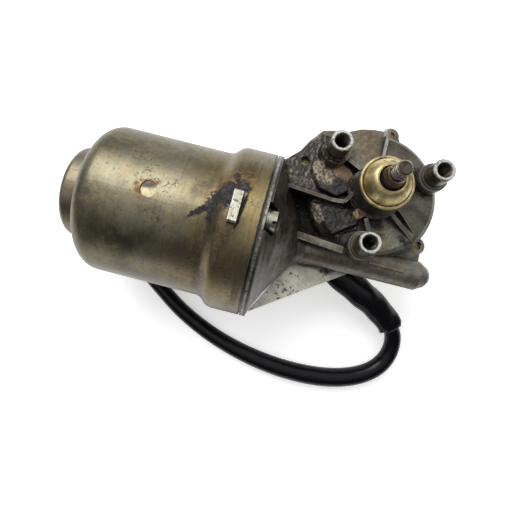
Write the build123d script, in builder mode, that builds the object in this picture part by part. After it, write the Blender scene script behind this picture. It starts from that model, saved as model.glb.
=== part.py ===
from build123d import *
from math import atan, cos, hypot, pi, radians, sin, sqrt, tan
import os

# Windscreen wiper motor. Millimetres, +Z along the output shaft, origin on the shaft axis
# in the plane of the three mounting sleeves' ends, +X from the motor towards the worm end.

# Mounting sleeves
boss_circle = 50.0
boss_count = 3
boss_angle = 27.7
thread_size = 6.0
tap_radius = 2.5
sleeve_radius = 4.7
sleeve_length = 16.0
sleeve_chamfer = 0.5
boss_radius = 6.3
boss_shoulder = 9.9
boss_step = 1.0
boss_collar = 0.9

# Worm gear
gear_module = 0.9
wheel_teeth = 58
worm_pitch_radius = 3.7
flank_clearance = 0.12
worm_length = 22.0
worm_relief = 3.0
worm_shoulder = 1.0
worm_bore_gap = 0.25
end_journal_length = 11.0
centre_bush_x = -24.0
centre_bush_length = 7.0
centre_bush_radius = 6.2
ball_radius = 2.0
ball_gap = 0.1
pad_sheet = 1.0
wheel_face = 6.0
axis_drop = 23.7

# Output shaft
output_radius = 4.9
taper_small_radius = 3.9
taper_start = 5.6
taper_length = 7.2
serrations = 36
serration_depth = 0.35
thread_length = 6.2
thread_neck = 0.8
output_tail = 29.3
tail_chamfer = 0.4
thread_chamfer = 0.7
thread_undercut = 0.6
bush_wall = 1.6
bush_length = 7.0
hub_radius = 8.0
hub_collar = 2.0
rim_depth = 2.5
web_recess = 1.4
tail_washer_sheet = 0.5
tail_washer_margin = 1.0
clip_groove = 0.9
clip_inner = 4.2
clip_mouth = 5.0
thrust_washer_sheet = 0.4
wheel_float = 0.1
park_outer = 21.0
park_inner = 12.0
park_notch = 9.0
park_sheet = 0.5
seal_height = 2.6
running_clearance = 0.03

# Dust cup
cup_rim_radius = 11.1
cup_hole_radius = 5.3
cup_height = 7.4
cup_sheet = 0.7
cup_roll = 0.6
cup_lip = 0.6
cup_flange = 1.3
cup_crown = ((3.2, 1.5), (1.9, 3.7))
cup_liner = ((2.6, 3.9), (3.9, 2.2))
seal_margin = 1.0
central_boss_radius = 9.6
central_boss_top = 0.4

# Gear housing
base_drop = 31.0
chamber_wall = 1.9
tip_gap = 0.6
ceiling_gap = 1.0
roof_wall = 2.2
shoulder_radius = 2.0
roof_draft = 0.3
roof_rise = 4.8
central_foot = 2.4
central_fillet = 1.0
tube_wall = 1.8
tube_end = 33.9
tube_nose_length = 5.3
tube_nose = ((1.4, 2.2), (0.0, 4.0))
tube_crest = ((4.8, -30.4), (20.4, -30.4))
crest_rise = 0.8
crest_thickness = 0.9
deck_drop = 17.0
pocket_drop = 24.5
ear_radius = 3.9
ear_height = 6.0
lobe_height = 5.0
deck_outline = (
    (-42.4, 6.2), (-41.5, 6.5), (-36.2, 11.8), (-33.0, 17.5), (-28.5, 23.5), (-23.0, 25.0),
    (-17.5, 19.0), (-15.7, 11.9), (-9.2, 8.5), (-8.0, 0.0), (-25.0, -5.2), (-42.4, -5.2),
)
roof_cut = (
    (0.0, 0.0), (-9.2, 8.5), (-15.7, 11.9), (-26.0, 22.0), (-40.0, 22.0), (-40.0, -40.0),
    (34.0, -40.0), (34.0, -22.4), (24.0, -14.9), (12.7, -6.4),
)
roof_lobe = (
    (-8.0, 9.5), (-15.7, 13.5), (-17.0, 20.0), (-16.5, 26.4), (-11.5, 28.8), (-6.3, 30.0),
    (-1.0, 30.4), (-0.5, 16.0),
)
lobe_outline = (
    (-25.0, 12.0), (-20.0, 22.0), (-14.0, 29.5), (-1.0, 31.5), (2.6, 36.5), (8.0, 34.2),
    (12.0, 25.0), (0.0, 12.0),
)
pocket_floor = ((-39.0, -6.0), (-25.0, -6.0), (-20.0, -27.0), (-31.0, -27.0))
ear_places = ((4.2, 32.9), (26.8, -16.0))
deck_screw_place = (-33.0, 7.6)
ribs = (
    ((-40.0, -6.2), (-17.5, -8.2), -12.5, -12.0, 1.6),
    ((-17.5, -8.2), (-12.7, -7.9), -12.0, -11.5, 1.6),
    ((-12.7, -7.9), (-8.3, -1.7), -11.5, -10.7, 1.6),
    ((-35.0, -26.3), (-8.4, -28.5), -12.5, -12.5, 2.9),
    ((-17.0, 12.6), (-8.6, 8.2), -13.0, -12.0, 1.6),
    ((-1.8, -12.4), (1.2, -18.0), -12.5, -13.5, 1.8),
    ((-7.0, -13.0), (-3.0, -9.4), -12.8, -12.8, 4.0),
)
outer_ribs = (
    ((8.5, -7.5), (22.8, -16.7), -12.6, -17.4, 1.7),
    ((-0.6, 9.0), (0.7, 30.5), -12.0, -15.4, 1.5),
    ((0.7, 30.5), (1.8, 34.6), -15.4, -22.0, 1.5),
)
pads = (
    (
        -14.6,
        (
            (-29.3, 9.4), (-23.8, 8.3), (-17.6, 10.2), (-12.5, 7.4), (-9.5, 4.0), (-9.5, -0.5),
            (-16.2, -5.3), (-24.2, -3.6), (-29.4, 4.0),
        ),
    ),
    (
        -15.0,
        (
            (-25.7, -10.9), (-12.0, -10.4), (-7.0, -9.2), (-3.4, -14.5), (-14.2, -22.5),
            (-19.7, -17.5),
        ),
    ),
)
skirt_width = 9.2
hole_gap = 0.2
bush_recess = 0.3

# Funnel and flange
seam_x = -45.4
flange_thickness = 3.0
flange_edge = 0.6
seam_groove = 0.6
seam_groove_depth = 0.9
funnel_end_x = -27.9
funnel_end_radius = 9.8
funnel_steps = ((5.0, 31.2), (8.1, 24.9), (10.8, 20.4), (14.2, 15.4))
throat_steps = ((4.2, 0.8), (11.0, 0.0))
brush_bay_radius = 23.0
brush_bay_depth = 7.0
bay_throat = 4.0
bay_rim = 3.0
notch_width = 11.0
notch_floor = 2.0

# Motor case
case_radius = 32.9
flare_radius = 36.9
flare_length = 12.0
neck_length = 9.0
neck_ease = 0.55
case_sheet = 2.0
case_shoulder = 8.0
case_end_x = -119.4
case_angle = 86.5
bearing_hole_radius = 13.0
cap_radius = 20.5
cap_depth = 9.9
cap_corner = 2.5
cap_sheet = 1.4
rear_bush_ball = 7.0
rear_bush_length = 10.0
retainer_sheet = 1.0
plug_x = -89.0
plug_radius = 3.3
plug_recess = 0.5
nut_x = -55.1
nut_width = 3.4
nut_length = 12.4
nut_proud = 2.9
nut_reach = 26.5
nut_corner = 0.6
slot_gap = 0.1
screw_circle = 31.0
screw_radius = 2.5
head_radius = 4.0
head_height = 3.3
washer_sheet = 0.8
slot_width = 1.2
slot_depth = 1.5
slot_turn = 20.0
washer_rim = 0.6

# Motor inside
magnet_thickness = 7.3
magnet_span = 130.0
magnet_start_x = -68.0
magnet_end_x = -106.0
clip_width = 16.0
clip_sheet = 0.8
air_gap = 0.7
core_start_x = -72.0
core_end_x = -104.0
core_slots = 12
core_slot_width = 2.6
core_slot_depth = 8.0
wedge_depth = 1.2
winding_overhang = 8.0
winding_dip = 2.4
winding_bore_gap = 2.0
winding_taper = 0.6
commutator_radius = 10.5
commutator_start_x = -48.0
commutator_length = 13.0
riser_width = 2.0
riser_radius = 12.0
groove_depth = 0.8
groove_width = 0.5
shaft_end_play = 0.4
thread_embed = 0.3
journal_radius = 3.0
journal_relief = 1.0
brush_plate_sheet = 1.6
brush_width = 6.0
brush_depth = 8.0
brush_length = 9.5
brush_gap = 0.1
brush_plate_hole = 13.0
brush_box_length = 9.0
box_inner = 12.6
box_outer = 28.5
box_sheet = 0.8
plate_screw_circle = 27.0
plate_screw_radius = 1.2
plate_screw_head = 2.3
plate_screw_head_height = 1.8
plate_screw_turn = 45.0
spring_radius = 2.2
spring_wire = 0.3
spring_turns = 4
spring_gap = 0.1
brush_plate_gap = 0.3

# Rear cover
gasket_sheet = 0.4
cover_sheet = 1.5
cover_screw_radius = 2.0
cover_head_radius = 3.6
cover_head_height = 2.4
cover_margin = 0.4
cover_screw_end = 0.8
cover_tail = (
    (2.0, -34.4), (-41.3, -64.5), (-41.3, 3.0), (-33.0, 17.0), (-20.0, 22.0), (10.0, -10.0),
)
cover_shelf = ((0.0, -34.4), (14.0, -34.4), (27.0, -20.5), (10.0, -10.0))
notch_sides = ((seam_x, 41.8), (-27.0, 6.3), (-22.6, 4.0))
tail_hole_place = (-9.7, -37.0)
tail_hole_radius = 1.3

# Park switch
switch_place = (15.0, -8.0)
switch_length = 12.0
switch_width = 11.0
switch_height = 2.2
finger_spacing = 3.4
finger_width = 2.0
finger_length = 8.5
finger_sheet = 0.3
finger_gap = 0.25
finger_foot = 4.0
finger_dip = 0.6
finger_inset = 1.0
switch_corner = 1.5

# Cable
cable_radius = 4.3
sleeve_outer_radius = 6.2
sleeve_bore_gap = 0.2
outer_sleeve_length = 45.0
cable_points = (
    (-5.5, -33.5, -39.6), (7.6, -40.9, -39.6), (22.3, -47.4, -45.6), (36.4, -57.0, -52.6),
    (37.0, -72.6, -57.8), (26.2, -83.8, -59.4), (5.7, -90.2, -59.4), (-21.7, -90.7, -59.4),
    (-50.1, -85.4, -59.4), (-74.5, -75.5, -59.4), (-91.5, -64.2, -59.4),
    (-103.0, -56.3, -59.4), (-114.0, -52.0, -59.4),
)
gland_place = (-13.9, -28.8)
gland_radius = 8.4
gland_flange = 1.5
gland_neck_radius = 5.5
gland_body_radius = 6.4

# Connector
connector_width = 13.0
connector_height = 7.6
connector_length = 16.0
connector_corner = 1.5
connector_wall = 1.2
blade_inset = 1.5
socket_depth = 9.0
cavity_spacing = 4.0
cavity_count = 3
blade_sheet = 0.8
blade_width = 3.2

centre_distance = wheel_teeth * gear_module / 2 + worm_pitch_radius
axis_z = -axis_drop
worm_tip_radius = worm_pitch_radius + gear_module
worm_root_radius = worm_pitch_radius - 1.2 * gear_module
wheel_pitch_radius = wheel_teeth * gear_module / 2
wheel_tip_radius = wheel_pitch_radius + gear_module
wheel_root_radius = wheel_pitch_radius - 1.2 * gear_module
wheel_top = axis_z + wheel_face / 2
wheel_bottom = axis_z - wheel_face / 2
lead_angle = atan(gear_module / 2 / worm_pitch_radius)
pressure_angle = radians(20)
chamber_radius = wheel_tip_radius + tip_gap
housing_radius = chamber_radius + chamber_wall
chamber_ceiling = wheel_top + ceiling_gap
roof_edge = chamber_ceiling + roof_wall
bore_radius = worm_tip_radius + worm_bore_gap
tube_radius = bore_radius + tube_wall
bush_radius = output_radius + bush_wall
worm_start_x = -worm_length / 2
end_journal_x = worm_length / 2 + worm_relief
shaft_end_x = end_journal_x + end_journal_length
pad_end_x = shaft_end_x + ball_gap + 2 * ball_radius + pad_sheet
crest_z = axis_z + tube_radius + crest_rise
magnet_outer = case_radius - case_sheet
magnet_inner = magnet_outer - magnet_thickness
core_radius = magnet_inner - air_gap
winding_radius = core_radius - winding_dip
screw_places = ear_places + (deck_screw_place,)

opposite = (0, 180)
motor_axis = Axis((0, -centre_distance, axis_z), (1, 0, 0))
motor_plane = Plane(origin=(0, -centre_distance, axis_z), x_dir=(1, 0, 0), z_dir=(0, -1, 0))


def clock_plane(angle):
    """Plane through the motor axis whose local y points at this clock angle from +Y."""
    turn = radians(angle)
    return Plane(
        origin=(0, -centre_distance, axis_z), x_dir=(1, 0, 0), z_dir=(0, -sin(turn), cos(turn))
    )


def cross_plane(x, angle=90):
    """Plane across the motor axis at x, facing +X, whose local y points at this clock angle."""
    turn = radians(angle)
    return Plane(
        origin=(x, -centre_distance, axis_z), x_dir=(0, sin(turn), -cos(turn)), z_dir=(1, 0, 0)
    )


def boss_places(z):
    """The three sleeve axes at height z."""
    turns = [radians(boss_angle + 360 / boss_count * k) for k in range(boss_count)]
    return [(boss_circle / 2 * cos(turn), boss_circle / 2 * sin(turn), z) for turn in turns]


def save(piece, label):
    """Label a finished piece and write it to its own file."""
    piece.part.label = label
    export_step(piece.part, f"parts/{label}.step")
    print(label, round(piece.part.volume))


def lathe(points, axis=motor_axis, plane=motor_plane, arc=360.0, mode=Mode.ADD):
    """Turn a closed outline of (along, radius) points about an axis."""
    with BuildSketch(plane) as profile:
        with BuildLine():
            Polyline(*points, close=True)
        make_face()
    revolve(profile.sketch, axis=axis, revolution_arc=arc, mode=mode)


def turned(points, mode=Mode.ADD):
    """Turn a closed outline of (radius, height) points about the output shaft."""
    lathe(points, axis=Axis.Z, plane=Plane.XZ, mode=mode)


def barrel(start, end, outer, inner=0.0, mode=Mode.ADD):
    """Cylinder or tube about the motor axis from x = start to x = end."""
    low, high = min(start, end), max(start, end)
    lathe([(low, inner), (low, outer), (high, outer), (high, inner)], mode=mode)


# Motor case: a drawn pot, flared at the seam, with a large shoulder at its closed end.
shoulder_x = case_end_x + case_shoulder
shoulder_y = case_radius - case_shoulder
flare_end_x = seam_x - flare_length
neck_end_x = flare_end_x - neck_length


def pot(inset, mode=Mode.ADD):
    """Solid of revolution inside the case's outer surface, moved in by inset."""
    wide = flare_radius - inset
    narrow = case_radius - inset
    corner = case_shoulder - inset
    ease = neck_length * neck_ease
    with BuildSketch(motor_plane) as profile:
        with BuildLine():
            Polyline((case_end_x + inset, 0), (seam_x, 0), (seam_x, wide), (flare_end_x, wide))
            Bezier(
                (flare_end_x, wide), (flare_end_x - ease, wide),
                (neck_end_x + ease, narrow), (neck_end_x, narrow),
            )
            Line((neck_end_x, narrow), (shoulder_x, narrow))
            CenterArc((shoulder_x, shoulder_y), corner, 90, 90)
            Line((shoulder_x - corner, shoulder_y), (case_end_x + inset, 0))
        make_face()
    revolve(profile.sketch, axis=motor_axis, mode=mode)


with BuildPart() as motor_case:
    pot(0)
    pot(case_sheet, mode=Mode.SUBTRACT)
    barrel(case_end_x, case_end_x + case_sheet, bearing_hole_radius, mode=Mode.SUBTRACT)
    for side in opposite:
        wall = clock_plane(case_angle + side)
        with BuildSketch(Plane(origin=wall.origin, x_dir=(1, 0, 0), z_dir=wall.y_dir)) as holes:
            with Locations((plug_x, 0)):
                Circle(plug_radius)
            with Locations((nut_x, 0)):
                Rectangle(nut_width + 2 * slot_gap, nut_length + 2 * slot_gap)
        extrude(holes.sketch, amount=flare_radius + case_sheet, mode=Mode.SUBTRACT)
save(motor_case, "motor_case")

cap_end = case_end_x - cap_depth


def cap_solid(inset, mode=Mode.ADD):
    """Bearing cap's outer surface moved in by inset."""
    with BuildSketch(motor_plane) as profile:
        with BuildLine():
            Polyline((case_end_x, 0), (case_end_x, cap_radius - inset),
                     (cap_end + cap_corner, cap_radius - inset))
            CenterArc((cap_end + cap_corner, cap_radius - cap_corner), cap_corner - inset, 90, 90)
            Polyline((cap_end + inset, cap_radius - cap_corner), (cap_end + inset, 0),
                     (case_end_x, 0))
        make_face()
    revolve(profile.sketch, axis=motor_axis, mode=mode)


with BuildPart() as rear_bearing_cap:
    cap_solid(0)
    cap_solid(cap_sheet, mode=Mode.SUBTRACT)
save(rear_bearing_cap, "rear_bearing_cap")

# Sintered rear bush, a ball with flats, held against the cap by a ring in the case's end hole.
rear_bush_end = cap_end + cap_sheet
rear_bush_x = rear_bush_end + rear_bush_length / 2

with BuildPart() as rear_bush:
    bush_flat = sqrt(rear_bush_ball**2 - (rear_bush_length / 2) ** 2)
    bush_bore = journal_radius + running_clearance
    with BuildSketch(motor_plane) as profile:
        with BuildLine():
            ThreePointArc(
                (rear_bush_end, bush_flat), (rear_bush_x, rear_bush_ball),
                (rear_bush_end + rear_bush_length, bush_flat),
            )
            Polyline(
                (rear_bush_end + rear_bush_length, bush_flat),
                (rear_bush_end + rear_bush_length, bush_bore), (rear_bush_end, bush_bore),
                (rear_bush_end, bush_flat),
            )
        make_face()
    revolve(profile.sketch, axis=motor_axis)
save(rear_bush, "rear_bush")

with BuildPart() as bush_retainer:
    lip = sqrt(rear_bush_ball**2 - (case_end_x - rear_bush_x) ** 2)
    barrel(case_end_x, case_end_x + retainer_sheet, bearing_hole_radius, lip)
save(bush_retainer, "bush_retainer")

# Pole plugs: the ends of the rivets that hold the magnets, recessed in their holes in the case.
with BuildPart() as pole_plugs:
    for side in opposite:
        wall = clock_plane(case_angle + side)
        seat = Plane(
            origin=wall.from_local_coords((plug_x, magnet_outer, 0)), x_dir=(1, 0, 0),
            z_dir=wall.y_dir,
        )
        with BuildSketch(seat) as disc:
            Circle(plug_radius)
        extrude(disc.sketch, amount=case_sheet - plug_recess)
save(pole_plugs, "pole_plugs")

# Field magnets: two arcs against the case's inside, held apart by two sprung clips.
with BuildPart() as field_magnets:
    for side in opposite:
        lathe(
            [
                (magnet_end_x, magnet_inner), (magnet_end_x, magnet_outer),
                (magnet_start_x, magnet_outer), (magnet_start_x, magnet_inner),
            ],
            plane=clock_plane(case_angle + side - magnet_span / 2), arc=magnet_span,
        )
save(field_magnets, "field_magnets")

clip_span = 180 - magnet_span
clip_x = (magnet_start_x + magnet_end_x) / 2
with BuildPart() as magnet_clips:
    for side in (90, 270):
        lathe(
            [
                (clip_x - clip_width / 2, magnet_outer - clip_sheet),
                (clip_x - clip_width / 2, magnet_outer), (clip_x + clip_width / 2, magnet_outer),
                (clip_x + clip_width / 2, magnet_outer - clip_sheet),
            ],
            plane=clock_plane(case_angle + side - clip_span / 2), arc=clip_span,
        )
save(magnet_clips, "magnet_clips")

# Case fastening: a nut plate through a slot in the flare on each side, and its screw and washer.
notch_x = seam_x + notch_floor
head_x = notch_x + washer_sheet
nut_top = flare_radius + nut_proud
with BuildPart() as case_nut_plates:
    for side in opposite:
        with BuildSketch(cross_plane(nut_x - nut_width / 2, case_angle + side)) as plate:
            with Locations((0, (nut_top + nut_reach) / 2)):
                RectangleRounded(nut_length, nut_top - nut_reach, nut_corner)
            with Locations((0, screw_circle)):
                Circle(screw_radius, mode=Mode.SUBTRACT)
        extrude(plate.sketch, amount=nut_width)
save(case_nut_plates, "case_nut_plates")

screw_tail = nut_x - nut_width / 2 - screw_radius
with BuildPart() as case_screws:
    for side in opposite:
        with BuildSketch(cross_plane(screw_tail, case_angle + side)) as shank:
            with Locations((0, screw_circle)):
                Circle(screw_radius)
        extrude(shank.sketch, amount=head_x - screw_tail)
        with BuildSketch(cross_plane(head_x, case_angle + side)) as head:
            with Locations((0, screw_circle)):
                Circle(head_radius)
        extrude(head.sketch, amount=head_height)
        slot_x = head_x + head_height - slot_depth
        with BuildSketch(cross_plane(slot_x, case_angle + side)) as slot:
            with Locations((0, screw_circle)):
                Rectangle(slot_width, 3 * head_radius, rotation=slot_turn)
        extrude(slot.sketch, amount=head_height, mode=Mode.SUBTRACT)
save(case_screws, "case_screws")

with BuildPart() as case_screw_washers:
    for side in opposite:
        with BuildSketch(cross_plane(notch_x, case_angle + side)) as ring:
            with Locations((0, screw_circle)):
                Circle(head_radius + washer_rim)
                Circle(screw_radius, mode=Mode.SUBTRACT)
        extrude(ring.sketch, amount=washer_sheet)
save(case_screw_washers, "case_screw_washers")

# Armature: slotted core, windings through its slots, commutator, and the shaft with its worm.
with BuildPart() as armature_core:
    with BuildSketch(cross_plane(core_end_x)) as stamping:
        Circle(core_radius)
        with PolarLocations(core_radius - core_slot_depth / 2, core_slots):
            Rectangle(core_slot_depth, core_slot_width, mode=Mode.SUBTRACT)
        Circle(worm_tip_radius, mode=Mode.SUBTRACT)
    extrude(stamping.sketch, amount=core_start_x - core_end_x)
save(armature_core, "armature_core")

bar_gap = 0.1
bar_depth = core_slot_depth - wedge_depth - bar_gap
bar_radius = core_radius - wedge_depth - bar_depth / 2
winding_bore = core_radius - core_slot_depth
coil_bore = worm_tip_radius + winding_bore_gap
with BuildPart() as armature_windings:
    with BuildSketch(cross_plane(core_end_x - bar_gap)) as bars:
        with PolarLocations(bar_radius, core_slots):
            Rectangle(bar_depth, core_slot_width - 2 * bar_gap)
    extrude(bars.sketch, amount=core_start_x - core_end_x + 2 * bar_gap)
    for face_x, way in ((core_start_x + bar_gap, 1), (core_end_x - bar_gap, -1)):
        lathe(
            [
                (face_x, coil_bore), (face_x, winding_radius),
                (face_x + way * winding_overhang * winding_taper, winding_radius),
                (face_x + way * winding_overhang, winding_bore),
                (face_x + way * winding_overhang, coil_bore),
            ]
        )
save(armature_windings, "armature_windings")

commutator_end_x = commutator_start_x - commutator_length
with BuildPart() as commutator:
    barrel(commutator_end_x, commutator_start_x, commutator_radius, worm_tip_radius)
    barrel(commutator_end_x, commutator_end_x + riser_width, riser_radius, worm_tip_radius)
    with BuildSketch(cross_plane(commutator_end_x)) as grooves:
        with PolarLocations(riser_radius, core_slots, start_angle=180 / core_slots):
            Rectangle(2 * (riser_radius - commutator_radius + groove_depth), groove_width)
    extrude(grooves.sketch, amount=commutator_length, mode=Mode.SUBTRACT)
save(commutator, "commutator")

worm_pitch = pi * gear_module
rear_journal_x = rear_bush_end + rear_bush_length + journal_relief
worm_neck_x = worm_start_x - worm_shoulder
with BuildLine() as thread_path:
    Helix(
        worm_pitch, worm_length, worm_pitch_radius,
        center=(worm_start_x, -centre_distance, axis_z), direction=(1, 0, 0),
    )
thread_start = thread_path.line @ 0
thread_out = thread_start - Vector(thread_start.X, -centre_distance, axis_z)
thread_turn = Vector(0, 1, 0).get_signed_angle(thread_out, Vector(1, 0, 0))
thread_half = worm_pitch / 4 * cos(lead_angle)
thread_slope = tan(pressure_angle) * cos(lead_angle)
thread_root = worm_pitch_radius - worm_root_radius + thread_embed
with BuildPart() as armature_shaft:
    barrel(rear_bush_end + shaft_end_play, rear_journal_x, journal_radius)
    barrel(rear_journal_x, worm_neck_x, worm_tip_radius)
    barrel(worm_neck_x, end_journal_x, worm_root_radius)
    barrel(end_journal_x, shaft_end_x, journal_radius)
    with BuildSketch(
        Plane(origin=thread_start, x_dir=thread_out, z_dir=thread_path.line % 0)
    ) as thread_section:
        with BuildLine():
            Polyline(
                (gear_module, thread_half - gear_module * thread_slope),
                (-thread_root, thread_half + thread_root * thread_slope),
                (-thread_root, -thread_half - thread_root * thread_slope),
                (gear_module, -thread_half + gear_module * thread_slope),
                close=True,
            )
        make_face()
    sweep(thread_section.sketch, path=thread_path.line, is_frenet=True)
save(armature_shaft, "armature_shaft")

# Worm wheel: helical teeth that mesh with the worm, with their gaps on its thread.
base_radius = wheel_pitch_radius * cos(pressure_angle)
thread_x = worm_start_x - worm_pitch * thread_turn / 360
wheel_phase = (thread_x % worm_pitch) / wheel_pitch_radius - pi / 2 + pi / wheel_teeth


def roll(angle):
    """Involute function of a pressure angle."""
    return tan(angle) - angle


def half_tooth(radius):
    """Half the angle that a tooth fills at this radius."""
    here = atan(sqrt(max(radius**2 - base_radius**2, 0)) / base_radius)
    at_pitch = (worm_pitch / 2 - 2 * flank_clearance) / 2 / wheel_pitch_radius
    return at_pitch + roll(pressure_angle) - roll(here)


def wheel_outline(turn):
    """Points of the toothed outline, turned by this angle."""
    radii = (wheel_root_radius, wheel_pitch_radius, wheel_tip_radius)
    points = []
    for tooth in range(wheel_teeth):
        middle = turn + 2 * pi * tooth / wheel_teeth
        rising = [(radius, middle - half_tooth(radius)) for radius in radii]
        falling = [(radius, middle + half_tooth(radius)) for radius in reversed(radii)]
        points += [(radius * cos(at), radius * sin(at)) for radius, at in rising + falling]
    return points


with BuildPart() as worm_wheel:
    half_twist = wheel_face / 2 * tan(lead_angle) / wheel_pitch_radius
    with BuildSketch(Plane.XY.offset(wheel_bottom)) as lower_outline:
        with BuildLine():
            Polyline(*wheel_outline(wheel_phase - half_twist), close=True)
        make_face()
    with BuildSketch(Plane.XY.offset(wheel_top)) as upper_outline:
        with BuildLine():
            Polyline(*wheel_outline(wheel_phase + half_twist), close=True)
        make_face()
    loft([lower_outline.sketch, upper_outline.sketch], ruled=True)
    for face_z, way in ((wheel_top, -1), (wheel_bottom, 1)):
        with BuildSketch(Plane.XY.offset(face_z)) as recess:
            Circle(wheel_root_radius - rim_depth)
            Circle(hub_radius + hub_collar, mode=Mode.SUBTRACT)
        extrude(recess.sketch, amount=way * web_recess, mode=Mode.SUBTRACT)
    with BuildSketch(Plane.XY.offset(wheel_bottom)) as bore:
        Circle(hub_radius)
    extrude(bore.sketch, amount=wheel_face, mode=Mode.SUBTRACT)
save(worm_wheel, "worm_wheel")

with BuildPart() as wheel_hub:
    turned(
        [
            (output_radius, wheel_bottom), (hub_radius, wheel_bottom), (hub_radius, wheel_top),
            (output_radius, wheel_top),
        ]
    )
save(wheel_hub, "wheel_hub")

# Output shaft: journal, retaining groove, serrated taper and threaded end.
clip_top = wheel_bottom - tail_washer_sheet
taper_end = taper_start + taper_length
thread_top = taper_end + thread_neck + thread_length
thread_radius = thread_size / 2
tail_washer_radius = hub_radius + tail_washer_margin
with BuildPart() as output_shaft:
    turned(
        [
            (0, -output_tail), (output_radius - tail_chamfer, -output_tail),
            (output_radius, -output_tail + tail_chamfer), (output_radius, clip_top - clip_groove),
            (clip_inner, clip_top - clip_groove), (clip_inner, clip_top),
            (output_radius, clip_top), (output_radius, taper_start), (0, taper_start),
        ]
    )
    sections = []
    for height, radius in ((taper_start, output_radius), (taper_end, taper_small_radius)):
        with BuildSketch(Plane.XY.offset(height)) as star:
            with BuildLine():
                Polyline(
                    *[
                        (
                            (radius - serration_depth * (k % 2)) * cos(pi * k / serrations),
                            (radius - serration_depth * (k % 2)) * sin(pi * k / serrations),
                        )
                        for k in range(2 * serrations)
                    ],
                    close=True,
                )
            make_face()
        sections.append(star.sketch)
    loft(sections, ruled=True)
    turned(
        [
            (0, taper_end), (thread_radius - thread_undercut, taper_end),
            (thread_radius - thread_undercut, taper_end + thread_neck),
            (thread_radius, taper_end + thread_neck), (thread_radius, thread_top - thread_chamfer),
            (thread_radius - thread_chamfer, thread_top), (0, thread_top),
        ]
    )
save(output_shaft, "output_shaft")

with BuildPart() as tail_washer:
    turned(
        [
            (output_radius, clip_top), (tail_washer_radius, clip_top),
            (tail_washer_radius, wheel_bottom), (output_radius, wheel_bottom),
        ]
    )
save(tail_washer, "tail_washer")

with BuildPart() as retaining_clip:
    with BuildSketch(Plane.XY.offset(clip_top - clip_groove)) as ring:
        Circle(hub_radius)
        Circle(clip_inner, mode=Mode.SUBTRACT)
        with Locations((hub_radius, 0)):
            Rectangle(2 * hub_radius, clip_mouth, mode=Mode.SUBTRACT)
    extrude(ring.sketch, amount=clip_groove)
save(retaining_clip, "retaining_clip")

# Park switch: a notched copper disc under the wheel, and the fingers that ride on it.
with BuildPart() as park_disc:
    with BuildSketch(Plane.XY.offset(wheel_bottom)) as disc:
        Circle(park_outer)
        Circle(park_inner, mode=Mode.SUBTRACT)
        with Locations((park_outer, 0)):
            Rectangle(park_outer - park_inner, park_notch, mode=Mode.SUBTRACT)
    extrude(disc.sketch, amount=-park_sheet)
save(park_disc, "park_disc")

# Bushes and thrust pieces of the output shaft.
hub_top = wheel_top + wheel_float + thrust_washer_sheet
with BuildPart() as thrust_washer:
    turned(
        [
            (output_radius, wheel_top), (hub_radius, wheel_top),
            (hub_radius, wheel_top + thrust_washer_sheet),
            (output_radius, wheel_top + thrust_washer_sheet),
        ]
    )
save(thrust_washer, "thrust_washer")

output_bore = output_radius + running_clearance
for label, low, high in (
    ("lower_shaft_bush", hub_top, hub_top + bush_length),
    ("upper_shaft_bush", central_boss_top - bush_length, central_boss_top),
):
    with BuildPart() as shaft_bush:
        turned([(output_bore, low), (bush_radius, low), (bush_radius, high), (output_bore, high)])
    save(shaft_bush, label)

with BuildPart() as shaft_seal:
    turned(
        [
            (output_bore, central_boss_top), (bush_radius + seal_margin, central_boss_top),
            (bush_radius + seal_margin, central_boss_top + seal_height),
            (output_bore, central_boss_top + seal_height),
        ]
    )
save(shaft_seal, "shaft_seal")

# Dust cup: a domed pressing with a rolled rim, seated on the central boss.
cup_seat = central_boss_top
cup_brim = cup_seat + cup_sheet
lip_radius = cup_hole_radius + cup_lip
crown_radius = cup_rim_radius - cup_flange
liner_radius = crown_radius - cup_sheet
with BuildPart() as dust_cup:
    with BuildSketch(Plane.XZ) as pressing:
        with BuildLine():
            Polyline(
                (cup_hole_radius, cup_height - cup_sheet), (cup_hole_radius, cup_height),
                (lip_radius, cup_height),
            )
            Spline(
                (lip_radius, cup_height),
                *[(cup_rim_radius - inward, cup_height - down) for inward, down in cup_crown],
                (crown_radius, cup_brim),
                tangents=((1, -0.3), (0.15, -1)),
            )
            Polyline(
                (crown_radius, cup_brim), (cup_rim_radius, cup_brim), (cup_rim_radius, cup_seat),
                (liner_radius, cup_seat),
            )
            Spline(
                (liner_radius, cup_seat),
                *[(cup_rim_radius - inward, cup_height - down) for inward, down in cup_liner],
                (lip_radius, cup_height - cup_sheet),
                tangents=((-0.15, 1), (-1, 0.3)),
            )
            Line((lip_radius, cup_height - cup_sheet), (cup_hole_radius, cup_height - cup_sheet))
        make_face()
    revolve(pressing.sketch, axis=Axis.Z)
    with BuildSketch(Plane.XZ) as roll_section:
        with Locations((cup_rim_radius - cup_roll, cup_brim + cup_roll / 2)):
            Circle(cup_roll)
    revolve(roll_section.sketch, axis=Axis.Z)
save(dust_cup, "dust_cup")

# Tapped mounting sleeves, pressed into the casting's bosses.
with BuildPart() as mounting_sleeves:
    with BuildSketch(Plane.XY.offset(-sleeve_length)) as tubes:
        with Locations(*boss_places(0)):
            Circle(sleeve_radius)
            Circle(tap_radius, mode=Mode.SUBTRACT)
    extrude(tubes.sketch, amount=sleeve_length)
    chamfer(
        mounting_sleeves.edges().filter_by(GeomType.CIRCLE).group_by(Axis.Z)[-1].filter_by(
            lambda edge: edge.radius > tap_radius + 1
        ),
        sleeve_chamfer,
    )
save(mounting_sleeves, "mounting_sleeves")

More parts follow.
